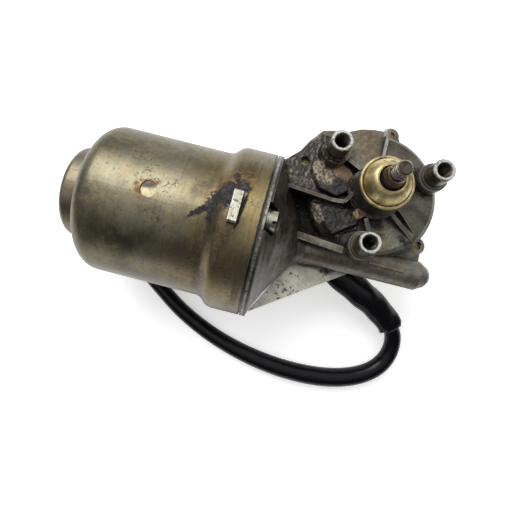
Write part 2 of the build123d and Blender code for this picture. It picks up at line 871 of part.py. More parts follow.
# Gear housing: a die casting that joins the gear chamber, the worm tube and the motor's funnel.
base_z = -base_drop
tube_round = tube_end - tube_nose_length
rib_foot = -pocket_drop
flange_end_x = seam_x + flange_thickness
groove_end_x = seam_x + seam_groove
groove_bottom = flare_radius - seam_groove_depth
bay_end_x = seam_x + brush_bay_depth
bay_throat_x = funnel_end_x - bay_throat
centre_bush_end = centre_bush_x - centre_bush_length
roof_radius = housing_radius - roof_draft


def slab(points, low, high, mode=Mode.ADD):
    """Flat plate of this outline between two heights."""
    with BuildSketch(Plane.XY.offset(low)) as outline:
        with BuildLine():
            Polyline(*points, close=True)
        make_face()
    extrude(outline.sketch, amount=high - low, mode=mode)


def discs(places, radius, low, high, mode=Mode.ADD, taper=0.0):
    """Upright cylinders at these places between two heights."""
    with BuildSketch(Plane.XY.offset(low)) as outline:
        with Locations(*places):
            Circle(radius)
    extrude(outline.sketch, amount=high - low, taper=taper, mode=mode)


def rib(start, end, top_start, top_end, foot, thickness):
    """Upright web between two points, with its own top height at each."""
    length = hypot(end[0] - start[0], end[1] - start[1])
    along = Vector((end[0] - start[0]) / length, (end[1] - start[1]) / length, 0)
    face = Plane(origin=(start[0], start[1], 0), x_dir=along, z_dir=along.cross(Vector(0, 0, 1)))
    with BuildSketch(face) as web:
        with BuildLine():
            Polyline(
                (0, foot), (length, foot), (length, top_end), (0, top_start), close=True
            )
        make_face()
    extrude(web.sketch, amount=thickness / 2, both=True)


with BuildPart() as gear_housing:
    turned(
        [
            (0, base_z), (housing_radius, base_z), (roof_radius, roof_edge - shoulder_radius),
            (roof_radius - shoulder_radius, roof_edge),
            (central_boss_radius + central_foot, roof_edge + roof_rise), (0, roof_edge + roof_rise),
        ]
    )
    slab(roof_cut, -deck_drop, 0, mode=Mode.SUBTRACT)
    turned(
        [
            (0, -deck_drop), (central_boss_radius + central_foot, -deck_drop),
            (central_boss_radius + central_foot, roof_edge + roof_rise),
            (central_boss_radius + central_fillet, roof_edge + roof_rise + central_fillet),
            (central_boss_radius, central_boss_top), (0, central_boss_top),
        ]
    )
    slab(deck_outline, base_z, -deck_drop)
    slab(roof_lobe, base_z, roof_edge)
    slab(lobe_outline, base_z, base_z + lobe_height)
    slab(pocket_floor, base_z, rib_foot)
    skirt_y = -centre_distance - skirt_width / 2
    slab(
        [
            (bay_throat_x, skirt_y), (tube_round, skirt_y), (tube_round, -chamber_radius / 2),
            (bay_throat_x, -chamber_radius / 2),
        ],
        base_z, axis_z,
    )
    discs(ear_places, ear_radius, base_z, base_z + ear_height)
    lathe(
        [
            (seam_x, 0), (seam_x, groove_bottom), (groove_end_x, groove_bottom),
            (groove_end_x, flare_radius), (flange_end_x, flare_radius),
            (flange_end_x, flare_radius - flange_edge),
            *[(seam_x + along, radius) for along, radius in funnel_steps],
            (funnel_end_x, funnel_end_radius),
            *[(funnel_end_x + along, tube_radius + proud) for along, proud in throat_steps],
            (tube_round, tube_radius),
            *[(tube_end - along, tube_radius - inward) for along, inward in tube_nose],
            (tube_end, 0),
        ]
    )
    discs(boss_places(0), boss_radius, base_z, -boss_shoulder)
    discs(boss_places(0), boss_radius - boss_collar, -boss_shoulder, -boss_shoulder + boss_step)
    for start, end, top_start, top_end, thickness in ribs:
        rib(start, end, top_start, top_end, rib_foot, thickness)
    for start, end, top_start, top_end, thickness in outer_ribs:
        rib(start, end, top_start, top_end, base_z, thickness)
    for top, outline in pads:
        slab(outline, rib_foot, top)
    rib(*tube_crest, crest_z, crest_z, axis_z, crest_thickness)

    # Hollows: gear chamber, worm bore, bush bores, brush bay, sleeve and screw holes.
    discs([(0, 0)], chamber_radius, base_z, chamber_ceiling, mode=Mode.SUBTRACT)
    discs([(0, 0)], bush_radius, base_z, central_boss_top, mode=Mode.SUBTRACT)
    barrel(seam_x, pad_end_x, bore_radius, mode=Mode.SUBTRACT)
    barrel(centre_bush_x, centre_bush_end, centre_bush_radius, mode=Mode.SUBTRACT)
    lathe(
        [
            (seam_x, 0), (seam_x, brush_bay_radius), (bay_end_x, brush_bay_radius),
            (centre_bush_end, centre_bush_radius + bay_rim), (centre_bush_end, 0),
        ],
        mode=Mode.SUBTRACT,
    )
    discs(boss_places(0), sleeve_radius, -sleeve_length, 0, mode=Mode.SUBTRACT)
    discs(screw_places, cover_screw_radius, base_z, -deck_drop, mode=Mode.SUBTRACT)
    for side in opposite:
        with BuildSketch(cross_plane(notch_x, case_angle + side)) as notch:
            with Locations((0, screw_circle)):
                Circle(notch_width / 2)
            with Locations((0, screw_circle + notch_width)):
                Rectangle(notch_width, 2 * notch_width)
        extrude(notch.sketch, amount=screw_circle, mode=Mode.SUBTRACT)
        with BuildSketch(cross_plane(seam_x, case_angle + side)) as hole:
            with Locations((0, screw_circle)):
                Circle(screw_radius + hole_gap)
        extrude(hole.sketch, amount=notch_floor, mode=Mode.SUBTRACT)
save(gear_housing, "gear_housing")

# Bushes and thrust pieces of the armature shaft.
with BuildPart() as centre_bush:
    barrel(centre_bush_end, centre_bush_x, centre_bush_radius, worm_tip_radius + running_clearance)
save(centre_bush, "centre_bush")

with BuildPart() as worm_end_bush:
    barrel(
        end_journal_x + bush_recess, shaft_end_x - bush_recess, bore_radius,
        journal_radius + running_clearance,
    )
save(worm_end_bush, "worm_end_bush")

with BuildPart() as thrust_ball:
    with BuildSketch(motor_plane) as half_ball:
        with BuildLine():
            CenterArc((shaft_end_x + ball_gap + ball_radius, 0), ball_radius, 0, 180)
            Line(
                (shaft_end_x + ball_gap, 0), (shaft_end_x + ball_gap + 2 * ball_radius, 0)
            )
        make_face()
    revolve(half_ball.sketch, axis=motor_axis)
save(thrust_ball, "thrust_ball")

with BuildPart() as thrust_pad:
    barrel(pad_end_x - pad_sheet, pad_end_x, bore_radius)
save(thrust_pad, "thrust_pad")

# Rear cover: a flat plate over the gear chamber, with a tail under the funnel and a V-notch
# that clears it, on a paper gasket.
gasket_bottom = base_z - gasket_sheet
cover_bottom = gasket_bottom - cover_sheet


def cover_blank(low, high):
    """Outline of the cover between two heights."""
    discs([(0, 0)], housing_radius - cover_margin, low, high)
    slab(cover_tail, low, high)
    slab(lobe_outline, low, high)
    slab(cover_shelf, low, high)
    discs(ear_places, ear_radius, low, high)


def cone_notch(low, high):
    """V-notch of the cover round the funnel."""
    lower = [(x, -centre_distance - half) for x, half in notch_sides]
    upper = [(x, -centre_distance + half) for x, half in reversed(notch_sides)]
    slab(lower + upper, low, high, mode=Mode.SUBTRACT)


with BuildPart() as cover_gasket:
    cover_blank(gasket_bottom, base_z)
    cone_notch(gasket_bottom, base_z)
    discs([(0, 0)], chamber_radius, gasket_bottom, base_z, mode=Mode.SUBTRACT)
    discs(screw_places, cover_screw_radius, gasket_bottom, base_z, mode=Mode.SUBTRACT)
    discs([gland_place], gland_neck_radius, gasket_bottom, base_z, mode=Mode.SUBTRACT)
    discs([tail_hole_place], tail_hole_radius, gasket_bottom, base_z, mode=Mode.SUBTRACT)
save(cover_gasket, "cover_gasket")

with BuildPart() as rear_cover:
    cover_blank(cover_bottom, gasket_bottom)
    cone_notch(cover_bottom, gasket_bottom)
    discs(screw_places, cover_screw_radius, cover_bottom, gasket_bottom, mode=Mode.SUBTRACT)
    discs([gland_place], gland_neck_radius, cover_bottom, gasket_bottom, mode=Mode.SUBTRACT)
    discs([tail_hole_place], tail_hole_radius, cover_bottom, gasket_bottom, mode=Mode.SUBTRACT)
save(rear_cover, "rear_cover")

with BuildPart() as cover_screws:
    discs(ear_places, cover_screw_radius, cover_bottom, base_z + ear_height - cover_screw_end)
    discs(
        [deck_screw_place], cover_screw_radius, cover_bottom, -deck_drop - 3 * cover_screw_end
    )
    discs(screw_places, cover_head_radius, cover_bottom - cover_head_height, cover_bottom)
    with BuildSketch(Plane.XY.offset(cover_bottom - cover_head_height)) as slots:
        with Locations(*screw_places):
            Rectangle(3 * cover_head_radius, slot_width, rotation=slot_turn)
    extrude(slots.sketch, amount=slot_depth, mode=Mode.SUBTRACT)
save(cover_screws, "cover_screws")

# Park switch: a moulded base on the cover, with three sprung fingers just under the park disc.
finger_top = wheel_bottom - park_sheet - finger_gap
with BuildPart() as park_switch_base:
    with BuildSketch(Plane.XY.offset(gasket_bottom)) as foot:
        with Locations(switch_place):
            RectangleRounded(switch_length, switch_width, switch_corner)
    extrude(foot.sketch, amount=switch_height)
save(park_switch_base, "park_switch_base")

with BuildPart() as park_switch_fingers:
    for offset_y in (-finger_spacing, 0, finger_spacing):
        root_x = switch_place[0] - switch_length / 2 + finger_inset
        root_z = gasket_bottom + switch_height
        tip_x = root_x + finger_length
        with BuildSketch(Plane.XZ.offset(-switch_place[1] - offset_y)) as strip:
            with BuildLine():
                Polyline(
                    (root_x, root_z), (root_x + finger_foot, root_z),
                    (tip_x - finger_inset, finger_top - finger_sheet),
                    (tip_x + finger_inset, finger_top - finger_sheet - finger_dip),
                    (tip_x + finger_inset, finger_top - finger_dip),
                    (tip_x - finger_inset, finger_top),
                    (root_x + finger_foot, root_z + finger_sheet), (root_x, root_z + finger_sheet),
                    close=True,
                )
            make_face()
        extrude(strip.sketch, amount=finger_width / 2, both=True)
save(park_switch_fingers, "park_switch_fingers")

# Brush gear: an insulating disc with two brass boxes, their carbon brushes and springs.
plate_start_x = seam_x - brush_plate_sheet
box_end_x = plate_start_x - brush_box_length
brush_x = (plate_start_x + box_end_x) / 2
brush_plate_radius = flare_radius - case_sheet - brush_plate_gap
with BuildPart() as brush_plate:
    with BuildSketch(cross_plane(plate_start_x, case_angle)) as disc:
        Circle(brush_plate_radius)
        Circle(brush_plate_hole, mode=Mode.SUBTRACT)
        with Locations((0, screw_circle), (0, -screw_circle)):
            Circle(screw_radius + hole_gap, mode=Mode.SUBTRACT)
        with PolarLocations(plate_screw_circle, 2, start_angle=plate_screw_turn):
            Circle(plate_screw_radius, mode=Mode.SUBTRACT)
    extrude(disc.sketch, amount=brush_plate_sheet)
save(brush_plate, "brush_plate")

with BuildPart() as brush_plate_screws:
    for start, thickness, radius in (
        (plate_start_x, brush_plate_sheet, plate_screw_radius),
        (plate_start_x - plate_screw_head_height, plate_screw_head_height, plate_screw_head),
    ):
        with BuildSketch(cross_plane(start, case_angle)) as shanks:
            with PolarLocations(plate_screw_circle, 2, start_angle=plate_screw_turn):
                Circle(radius)
        extrude(shanks.sketch, amount=thickness)
save(brush_plate_screws, "brush_plate_screws")


def brush_blocks(inner, outer, width, depth, mode=Mode.ADD):
    """Two blocks across the commutator, on the +Y and -Y sides."""
    with BuildSketch(cross_plane(brush_x - width / 2)) as blocks:
        for way in (-1, 1):
            with Locations((way * (inner + outer) / 2, 0)):
                Rectangle(outer - inner, depth)
    extrude(blocks.sketch, amount=width, mode=mode)


with BuildPart() as brush_boxes:
    brush_blocks(box_inner, box_outer, brush_box_length, brush_depth + 2 * box_sheet)
    brush_blocks(box_inner, box_outer - box_sheet, brush_width, brush_depth, mode=Mode.SUBTRACT)
save(brush_boxes, "brush_boxes")

brush_inner = commutator_radius + brush_gap
brush_outer = brush_inner + brush_length
with BuildPart() as carbon_brushes:
    brush_blocks(
        brush_inner, brush_outer, brush_width - 2 * slot_gap, brush_depth - 2 * slot_gap
    )
save(carbon_brushes, "carbon_brushes")

spring_length = box_outer - box_sheet - brush_outer - 2 * spring_wire - spring_gap
with BuildPart() as brush_springs:
    for way in (-1, 1):
        start_y = -centre_distance + way * (brush_outer + spring_wire)
        with BuildLine() as coil_path:
            Helix(
                spring_length / spring_turns, spring_length, spring_radius,
                center=(brush_x, start_y, axis_z), direction=(0, way, 0),
            )
        with BuildSketch(
            Plane(origin=coil_path.line @ 0, z_dir=coil_path.line % 0)
        ) as wire:
            Circle(spring_wire)
        sweep(wire.sketch, path=coil_path.line, is_frenet=True)
save(brush_springs, "brush_springs")

# Cable: a moulded elbow gland under the cover, the cable with its outer sleeve, and a plug.
gland_exit = cable_points[0]
gland_way = (Vector(*cable_points[1]) - Vector(*gland_exit)).normalized()
with BuildPart() as cable_gland:
    discs([gland_place], gland_radius, cover_bottom - gland_flange, cover_bottom)
    discs([gland_place], gland_neck_radius, cover_bottom, base_z)
    discs([gland_place], gland_body_radius, gland_exit[2], cover_bottom)
    with Locations((gland_place[0], gland_place[1], gland_exit[2])):
        Sphere(gland_body_radius)
    gland_run = hypot(gland_exit[0] - gland_place[0], gland_exit[1] - gland_place[1])
    with BuildSketch(
        Plane(origin=gland_exit, x_dir=gland_way.cross(Vector(0, 0, 1)), z_dir=-gland_way)
    ) as mouth:
        Circle(gland_body_radius)
    extrude(mouth.sketch, amount=gland_run)
save(cable_gland, "cable_gland")

corner_radii = []
for before, here, after in zip(cable_points, cable_points[1:], cable_points[2:]):
    run_in = Vector(*here) - Vector(*before)
    run_out = Vector(*after) - Vector(*here)
    half_turn = radians(run_in.get_angle(run_out)) / 2
    corner_radii.append(0.45 * min(run_in.length, run_out.length) / tan(half_turn))
print("cable bend radii", [round(radius, 1) for radius in corner_radii])

with BuildLine() as cable_route:
    FilletPolyline(*cable_points, radius=corner_radii)
cable_line = cable_route.wires()[0]
print("cable length", round(cable_line.length, 1))
sleeve_line = cable_line.trim(0, outer_sleeve_length / cable_line.length)

with BuildPart() as cable:
    with BuildSketch(Plane(origin=cable_line @ 0, z_dir=cable_line % 0)) as cable_section:
        Circle(cable_radius)
    sweep(cable_section.sketch, path=cable_line)
save(cable, "cable")
print("section x length", round(pi * cable_radius**2 * cable_line.length))

with BuildPart() as cable_outer_sleeve:
    with BuildSketch(Plane(origin=cable_line @ 0, z_dir=cable_line % 0)) as sleeve_section:
        Circle(sleeve_outer_radius)
        Circle(cable_radius + sleeve_bore_gap, mode=Mode.SUBTRACT)
    sweep(sleeve_section.sketch, path=sleeve_line)
save(cable_outer_sleeve, "cable_outer_sleeve")

plug_way = (cable_line % 1).normalized()
plug_plane = Plane(
    origin=cable_line @ 1, x_dir=Vector(0, 0, 1).cross(plug_way), z_dir=plug_way
)
with BuildPart() as connector_shell:
    with BuildSketch(plug_plane) as shell_outline:
        RectangleRounded(connector_width, connector_height, connector_corner)
    extrude(shell_outline.sketch, amount=connector_length)
    with BuildSketch(plug_plane.offset(connector_length - socket_depth)) as cavities:
        with GridLocations(cavity_spacing, 0, cavity_count, 1):
            Rectangle(cavity_spacing - connector_wall, connector_height - 2 * connector_wall)
    extrude(cavities.sketch, amount=socket_depth, mode=Mode.SUBTRACT)
save(connector_shell, "connector_shell")

with BuildPart() as connector_terminals:
    with BuildSketch(plug_plane.offset(connector_length - socket_depth)) as blades:
        with GridLocations(cavity_spacing, 0, cavity_count, 1):
            Rectangle(blade_sheet, blade_width)
    extrude(blades.sketch, amount=socket_depth - blade_inset)
save(connector_terminals, "connector_terminals")
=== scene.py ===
# Wiper motor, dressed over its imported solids. Metres, in the same frame as the solids.
import math
import random

import bmesh
import bpy
from mathutils import Matrix, Vector
from mathutils import noise as lumps


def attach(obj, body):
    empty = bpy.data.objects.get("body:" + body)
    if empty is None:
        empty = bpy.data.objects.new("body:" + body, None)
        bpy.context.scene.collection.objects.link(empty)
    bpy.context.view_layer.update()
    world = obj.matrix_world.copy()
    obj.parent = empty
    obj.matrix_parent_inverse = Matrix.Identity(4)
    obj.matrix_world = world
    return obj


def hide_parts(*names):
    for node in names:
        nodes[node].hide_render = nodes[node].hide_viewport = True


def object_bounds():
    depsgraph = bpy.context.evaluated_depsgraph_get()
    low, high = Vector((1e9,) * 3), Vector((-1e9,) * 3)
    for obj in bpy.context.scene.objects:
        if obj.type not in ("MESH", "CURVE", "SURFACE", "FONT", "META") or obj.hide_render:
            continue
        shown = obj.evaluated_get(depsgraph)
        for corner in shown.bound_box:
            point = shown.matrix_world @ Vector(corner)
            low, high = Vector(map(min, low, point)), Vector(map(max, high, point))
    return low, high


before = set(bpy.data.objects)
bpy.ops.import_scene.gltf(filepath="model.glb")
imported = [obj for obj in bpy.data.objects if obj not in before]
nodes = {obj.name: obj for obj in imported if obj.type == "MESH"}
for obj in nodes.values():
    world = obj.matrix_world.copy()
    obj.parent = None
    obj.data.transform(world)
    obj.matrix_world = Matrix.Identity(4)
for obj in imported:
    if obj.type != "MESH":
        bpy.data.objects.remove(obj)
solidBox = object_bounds()
bpy.ops.object.select_all(action="DESELECT")
random.seed(8)
mm = 0.001
print("frame loaded")


class Signal:
    # one output socket; sums, differences and products of signals add their Math nodes
    def __init__(self, tree, socket):
        self.tree = tree
        self.socket = socket

    def node(self, kind, settings=None, values=None, out=0):
        made = self.tree.nodes.new(kind)
        for key, setting in (settings or {}).items():
            setattr(made, key, setting)
        for key, value in (values or {}).items():
            if isinstance(value, Signal):
                self.tree.links.new(value.socket, made.inputs[key])
            else:
                made.inputs[key].default_value = value
        return Signal(self.tree, made.outputs[out])

    def maths(self, operation, *values):
        return self.node("ShaderNodeMath", {"operation": operation}, dict(enumerate(values)))

    def __add__(self, other):
        return self.maths("ADD", self, other)

    def __radd__(self, other):
        return self.maths("ADD", other, self)

    def __sub__(self, other):
        return self.maths("SUBTRACT", self, other)

    def __rsub__(self, other):
        return self.maths("SUBTRACT", other, self)

    def __mul__(self, other):
        return self.maths("MULTIPLY", self, other)

    def __rmul__(self, other):
        return self.maths("MULTIPLY", other, self)

    def rise(self, low, high):
        # 0 below low, 1 above high, smooth between; low may be the larger
        return self.node(
            "ShaderNodeMapRange", {"interpolation_type": "SMOOTHSTEP", "clamp": True},
            {0: self, 1: low, 2: high, 3: 0.0, 4: 1.0},
        )

    def most(self, other):
        return self.maths("MAXIMUM", self, other)

    def tint(self, first, second):
        # colour first where this is 0, second where it is 1
        return self.node(
            "ShaderNodeMix", {"data_type": "RGBA", "clamp_factor": True}, {0: self, 6: first, 7: second}, out=2
        )


def rgb(red, green, blue):
    return (red, green, blue, 1.0)


# camera, floor and light
view = {
    "place": (-0.04150, -0.05700, 0.14810),
    "turn": (5.9835, -0.6559, 14.2836),  # degrees
    "lens": 26.575,
    "sensor": 36.0,
    "nearest": 0.005,
}
bpy.ops.object.camera_add(location=view["place"], rotation=[math.radians(a) for a in view["turn"]])
camera = bpy.context.object
camera.data.lens = view["lens"]
camera.data.sensor_width = view["sensor"]
camera.data.clip_start = view["nearest"]
bpy.context.scene.camera = camera
bpy.context.scene.view_settings.view_transform = "Standard"

studio = {
    "floorSize": 6.0, "floorGap": 0.0002, "floorColour": rgb(0.90, 0.90, 0.90), "floorGlow": 0.54,
    "zenith": rgb(1.0, 1.0, 1.0), "horizon": rgb(0.07, 0.07, 0.075), "backdrop": rgb(0.90, 0.90, 0.90),
    "zenithWay": (-0.26, 0.40, 0.88),  # the brightest part of the room leans behind the shaft
    "zenithRise": (0.25, 1.0), "skyPower": 1.05,
    "lamps": {
        "keyLight": {"place": (-0.42, 0.40, 0.72), "size": 0.60, "power": 4.6},
        "fillLight": {"place": (0.55, 0.10, 0.70), "size": 0.6, "power": 0.4},
    },
    "aim": (-0.03, -0.03, -0.03),
}
bpy.ops.mesh.primitive_plane_add(size=studio["floorSize"], location=(0, 0, solidBox[0][2] - studio["floorGap"]))
floor = bpy.context.object
floor.name = "floor"
floorMaterial = bpy.data.materials.new("paleFloor")
floorMaterial.use_nodes = True
floorSockets = floorMaterial.node_tree.nodes["Principled BSDF"].inputs
floorSockets["Base Color"].default_value = studio["floorColour"]
floorSockets["Roughness"].default_value = 1.0
floorSockets["Specular IOR Level"].default_value = 0.0
floorSockets["Emission Color"].default_value = studio["floorColour"]
floorSockets["Emission Strength"].default_value = studio["floorGlow"]
floor.data.materials.append(floorMaterial)

world = bpy.data.worlds.new("softRoom")
bpy.context.scene.world = world
world.use_nodes = True
sky = world.node_tree.nodes["Background"]
direction = Signal(world.node_tree, world.node_tree.nodes.new("ShaderNodeTexCoord").outputs["Generated"])
height = direction.node(
    "ShaderNodeVectorMath", {"operation": "DOT_PRODUCT"}, {0: direction, 1: studio["zenithWay"]}, out=1
)
overhead = height.rise(*studio["zenithRise"]).tint(studio["horizon"], studio["zenith"])
seen = direction.node("ShaderNodeLightPath")
world.node_tree.links.new(seen.tint(overhead, studio["backdrop"]).socket, sky.inputs["Color"])
sky.inputs["Strength"].default_value = studio["skyPower"]

for lampName, entry in studio["lamps"].items():
    bpy.ops.object.light_add(type="AREA", location=entry["place"])
    lamp = bpy.context.object
    lamp.name = lampName
    lamp.data.shape = "DISK"
    lamp.data.size = entry["size"]
    lamp.data.energy = entry["power"]
    aim = Vector(studio["aim"]) - Vector(entry["place"])
    lamp.rotation_euler = aim.to_track_quat("-Z", "Y").to_euler()
print("camera, floor and light set")


# material tools; places and sizes inside a material are in millimetres
def newMaterial(name):
    # a bare material: its Principled node, and the Object coordinates as a signal
    material = bpy.data.materials.new(name)
    material.use_nodes = True
    tree = material.node_tree
    coords = Signal(tree, tree.nodes.new("ShaderNodeTexCoord").outputs["Object"])
    spot = coords.node("ShaderNodeMapping", None, {"Vector": coords, "Scale": (1000.0, 1000.0, 1000.0)})
    return material, tree.nodes["Principled BSDF"], spot


def feed(shader, spot, socketName):
    spot.tree.links.new(spot.socket, shader.inputs[socketName])


def noise(spot, scale, detail=4.0, rough=0.55, twist=0.0):
    return spot.node(
        "ShaderNodeTexNoise", {"noise_dimensions": "3D"},
        {"Vector": spot, "Scale": scale, "Detail": detail, "Roughness": rough, "Distortion": twist},
    )


def stretched(spot, size, turn=0.0):
    return spot.node(
        "ShaderNodeMapping", None, {"Vector": spot, "Rotation": (0, 0, math.radians(turn)), "Scale": size}
    )


def patch(spot, centre, size, turn, edge, wobble):
    # ragged ellipsoid patch, turned about the vertical
    shaped = spot.node(
        "ShaderNodeMapping", {"vector_type": "TEXTURE"},
        {"Vector": spot, "Location": centre, "Rotation": (0, 0, math.radians(turn)), "Scale": size},
    )
    reach = shaped.node("ShaderNodeVectorMath", {"operation": "LENGTH"}, {0: shaped}, out=1)
    return (reach + wobble).rise(1.0 + edge, 1.0 - edge)


def bump(spot, height, strength, depth):
    return spot.node("ShaderNodeBump", None, {"Strength": strength, "Distance": depth, "Height": height})


def nearness(spot, reach, inside):
    # ambient light within reach millimetres: low in corners, or low at outer edges when looking inside
    return spot.node(
        "ShaderNodeAmbientOcclusion", {"samples": 6, "inside": inside, "only_local": inside},
        {"Distance": reach * mm}, out=1,
    )


# how the layers of worn metal, grime and painted light and shade meet: noise as detail, roughness and twist,
# and ranges from none to full
wear = {
    "cloudNoise": (6.0, 0.6, 0.6), "mottleNoise": (4.0, 0.7), "streakNoise": (4.0, 0.65),
    "scratchNoise": (3.0, 0.6), "raggedNoise": (5.0, 0.65), "fineNoise": (5.0, 0.75),
    "crustNoise": (6.0, 0.75, 0.5), "grainsNoise": (4.0, 0.7), "pitNoise": (3.0, 0.5),
    "grainNoise": (4.0, 0.6), "gritNoise": (4.0, 0.8),
    "mottleRange": (0.45, 0.75), "streakRange": (0.50, 0.75),
    "scratchRange": (0.66, 0.72), "scratchBreaks": (0.40, 0.60),
    "fineScale": 2.6, "fineShare": 1.5, "fineRagged": 0.5, "grainsScale": 0.9, "pitRamp": 0.04,
    "wornEdgeAndGlintRange": (0.85, 0.55), "wornEdgeAndGlintBreaks": (0.28, 0.52), "wornEdgeAndGlintUnderFilm": 0.85, "grimeAndShadeCloud": 0.5,
    "gritDark": (0.50, 0.66), "gritLight": (0.46, 0.34), "gritLightShare": 0.35, "dulled": 0.85,
    "pitDepth": 0.6, "scratchDepth": 0.3, "mottleHeight": 0.4,
}


def placedMark(
    colour, fleck, strength, rough, blobs,
    edge=0.3, fleckRange=(0.45, 0.6), border="ragged", film=1.0, grains=None, lumps=0.0,
):
    # one placed mark (most are stains, a few are painted highlight or painted shade): blobs are (centre, size,
    # turn); film hides the metal, lumps raise it, grains break it up
    return {
        "colour": colour, "fleck": fleck, "strength": strength, "rough": rough, "blobs": blobs, "edge": edge,
        "fleckRange": fleckRange, "border": border, "film": film, "grains": grains, "lumps": lumps,
    }


def wornMetal(name, look):
    # clouded metal with streaks, pits, scratches, placed marks (stains, and some painted highlights and shade),
    # grime with painted shade in its corners, and rubbed edges that on the shaft are painted glints
    material, shader, spot = newMaterial(name)
    cloud = noise(spot, look["cloudScale"], *wear["cloudNoise"])
    mottle = noise(spot, look["mottleScale"], *wear["mottleNoise"])
    streak = noise(stretched(spot, look["streakSize"]), 1.0, *wear["streakNoise"])
    colour = cloud.rise(*look["cloudRange"]).tint(look["dark"], look["light"])
    colour = (mottle.rise(*wear["mottleRange"]) * look["mottle"]).tint(colour, look["mottleColour"])
    colour = (streak.rise(*wear["streakRange"]) * look["streak"]).tint(colour, look["streakColour"])
    scratch = noise(stretched(spot, look["scratchSize"], look["scratchTurn"]), 1.0, *wear["scratchNoise"])
    scratch = scratch.rise(*wear["scratchRange"]) * mottle.rise(*wear["scratchBreaks"])
    colour = (scratch * look["scratch"]).tint(colour, look["scratchColour"])
    gloss = mottle * (look["rough"][1] - look["rough"][0]) + look["rough"][0]
    ragged = (noise(spot, look["raggedScale"], *wear["raggedNoise"]) - 0.5) * look["ragged"]
    fine = (noise(spot, look["raggedScale"] * wear["fineScale"], *wear["fineNoise"]) - 0.5) * look["ragged"]
    borders = {
        "ragged": ragged,
        "drawn": (streak - 0.5) * look["drawn"],
        "fine": fine * wear["fineShare"] + ragged * wear["fineRagged"],
    }
    crust = noise(spot, look["crustScale"], *wear["crustNoise"])
    grains = noise(spot, wear["grainsScale"], *wear["grainsNoise"])
    film = crusted = spot.maths("ADD", 0.0, 0.0)  # nothing yet
    for entry in look["placedMarks"]:
        mask = None
        for centre, size, turn in entry["blobs"]:
            blob = patch(spot, centre, size, turn, entry["edge"], borders[entry["border"]])
            mask = blob if mask is None else mask.most(blob)
        mask = mask * entry["strength"]
        if entry["grains"]:
            mask = mask * grains.rise(*entry["grains"])
        inner = crust.rise(*entry["fleckRange"]).tint(entry["colour"], entry["fleck"])
        colour = mask.tint(colour, inner)
        gloss = gloss + mask * (entry["rough"] - gloss)
        film = film.most(mask * entry["film"])
        if entry["lumps"]:
            crusted = crusted.most(mask * entry["lumps"])
    pits = noise(spot, look["pitScale"], *wear["pitNoise"])
    pits = pits.rise(look["pitLimit"], look["pitLimit"] + wear["pitRamp"]) * cloud.rise(*look["pitPatches"])
    colour = (pits * look["pits"]).tint(colour, look["pitColour"])
    # lightened outer edges: worn bright metal on most parts, painted glints on the shaft's thread crests
    if look["edge"] > 0:
        wornEdgeAndGlint = nearness(spot, look["wornEdgeAndGlintReach"], True).rise(*wear["wornEdgeAndGlintRange"])
        wornEdgeAndGlint = wornEdgeAndGlint * mottle.rise(*wear["wornEdgeAndGlintBreaks"]) * look["edge"]
        wornEdgeAndGlint = wornEdgeAndGlint * (1.0 - film * wear["wornEdgeAndGlintUnderFilm"])
        colour = wornEdgeAndGlint.tint(colour, look["wornEdgeAndGlintColour"])
    # darker where the ambient light within reach is low: grime in the corners, and painted shade in creases,
    # thread roots and bores
    if look["grimeAndShade"] > 0:
        corner = nearness(spot, look["grimeAndShadeReach"], False)
        grimeAndShade = (corner + (cloud - 0.5) * wear["grimeAndShadeCloud"]).rise(*look["grimeAndShadeRange"]) * look["grimeAndShade"]
        colour = grimeAndShade.tint(colour, look["grimeAndShadeColour"])
        gloss = gloss + grimeAndShade * (look["grimeAndShadeRough"] - gloss)
        film = film.most(grimeAndShade)
    grain = noise(spot, look["grainScale"], *wear["grainNoise"])
    grit = noise(spot, look["gritScale"], *wear["gritNoise"])
    colour = (grit.rise(*wear["gritDark"]) * look["grit"]).tint(colour, look["pitColour"])
    glints = grit.rise(*wear["gritLight"]) * (look["grit"] * wear["gritLightShare"])
    colour = glints.tint(colour, look["wornEdgeAndGlintColour"])
    feed(shader, colour, "Base Color")
    feed(shader, gloss, "Roughness")
    feed(shader, look["metal"] - film * (look["metal"] * wear["dulled"]), "Metallic")
    relief = grain * look["grain"] - pits * wear["pitDepth"] - scratch * wear["scratchDepth"]
    smooth = bump(spot, relief + mottle * wear["mottleHeight"], look["bump"], look["bumpDepth"] * mm)
    lumpy = spot.node(
        "ShaderNodeBump", None,
        {"Strength": crusted, "Distance": look["crustDepth"] * mm, "Height": crust, "Normal": smooth},
    )
    feed(shader, lumpy, "Normal")
    return material


plainLook = {
    "cloudScale": 0.045, "cloudRange": (0.35, 0.65), "metal": 0.95, "rough": (0.28, 0.5),
    "mottle": 0.3, "mottleScale": 0.26, "mottleColour": rgb(0.16, 0.15, 0.12),
    "streak": 0.0, "streakSize": (0.9, 0.05, 0.05), "streakColour": rgb(0.1, 0.09, 0.07),
    "scratch": 0.3, "scratchSize": (2.6, 0.09, 0.12), "scratchTurn": 25.0,
    "scratchColour": rgb(0.45, 0.44, 0.38),
    "pits": 0.6, "pitScale": 0.55, "pitLimit": 0.66, "pitPatches": (0.3, 0.6),
    "pitColour": rgb(0.03, 0.025, 0.02),
    "grimeAndShade": 0.0, "grimeAndShadeReach": 4.0, "grimeAndShadeRange": (0.55, 0.3), "grimeAndShadeRough": 0.35,
    "grimeAndShadeColour": rgb(0.016, 0.012, 0.009),
    "edge": 0.0, "wornEdgeAndGlintReach": 0.7, "wornEdgeAndGlintColour": rgb(0.45, 0.43, 0.36),
    "placedMarks": (), "raggedScale": 0.22, "ragged": 1.5, "drawn": 2.6, "crustScale": 0.5, "crustDepth": 0.8,
    "grain": 0.5, "grainScale": 1.4, "grit": 0.25, "gritScale": 1.1, "bump": 0.35, "bumpDepth": 0.15,
}


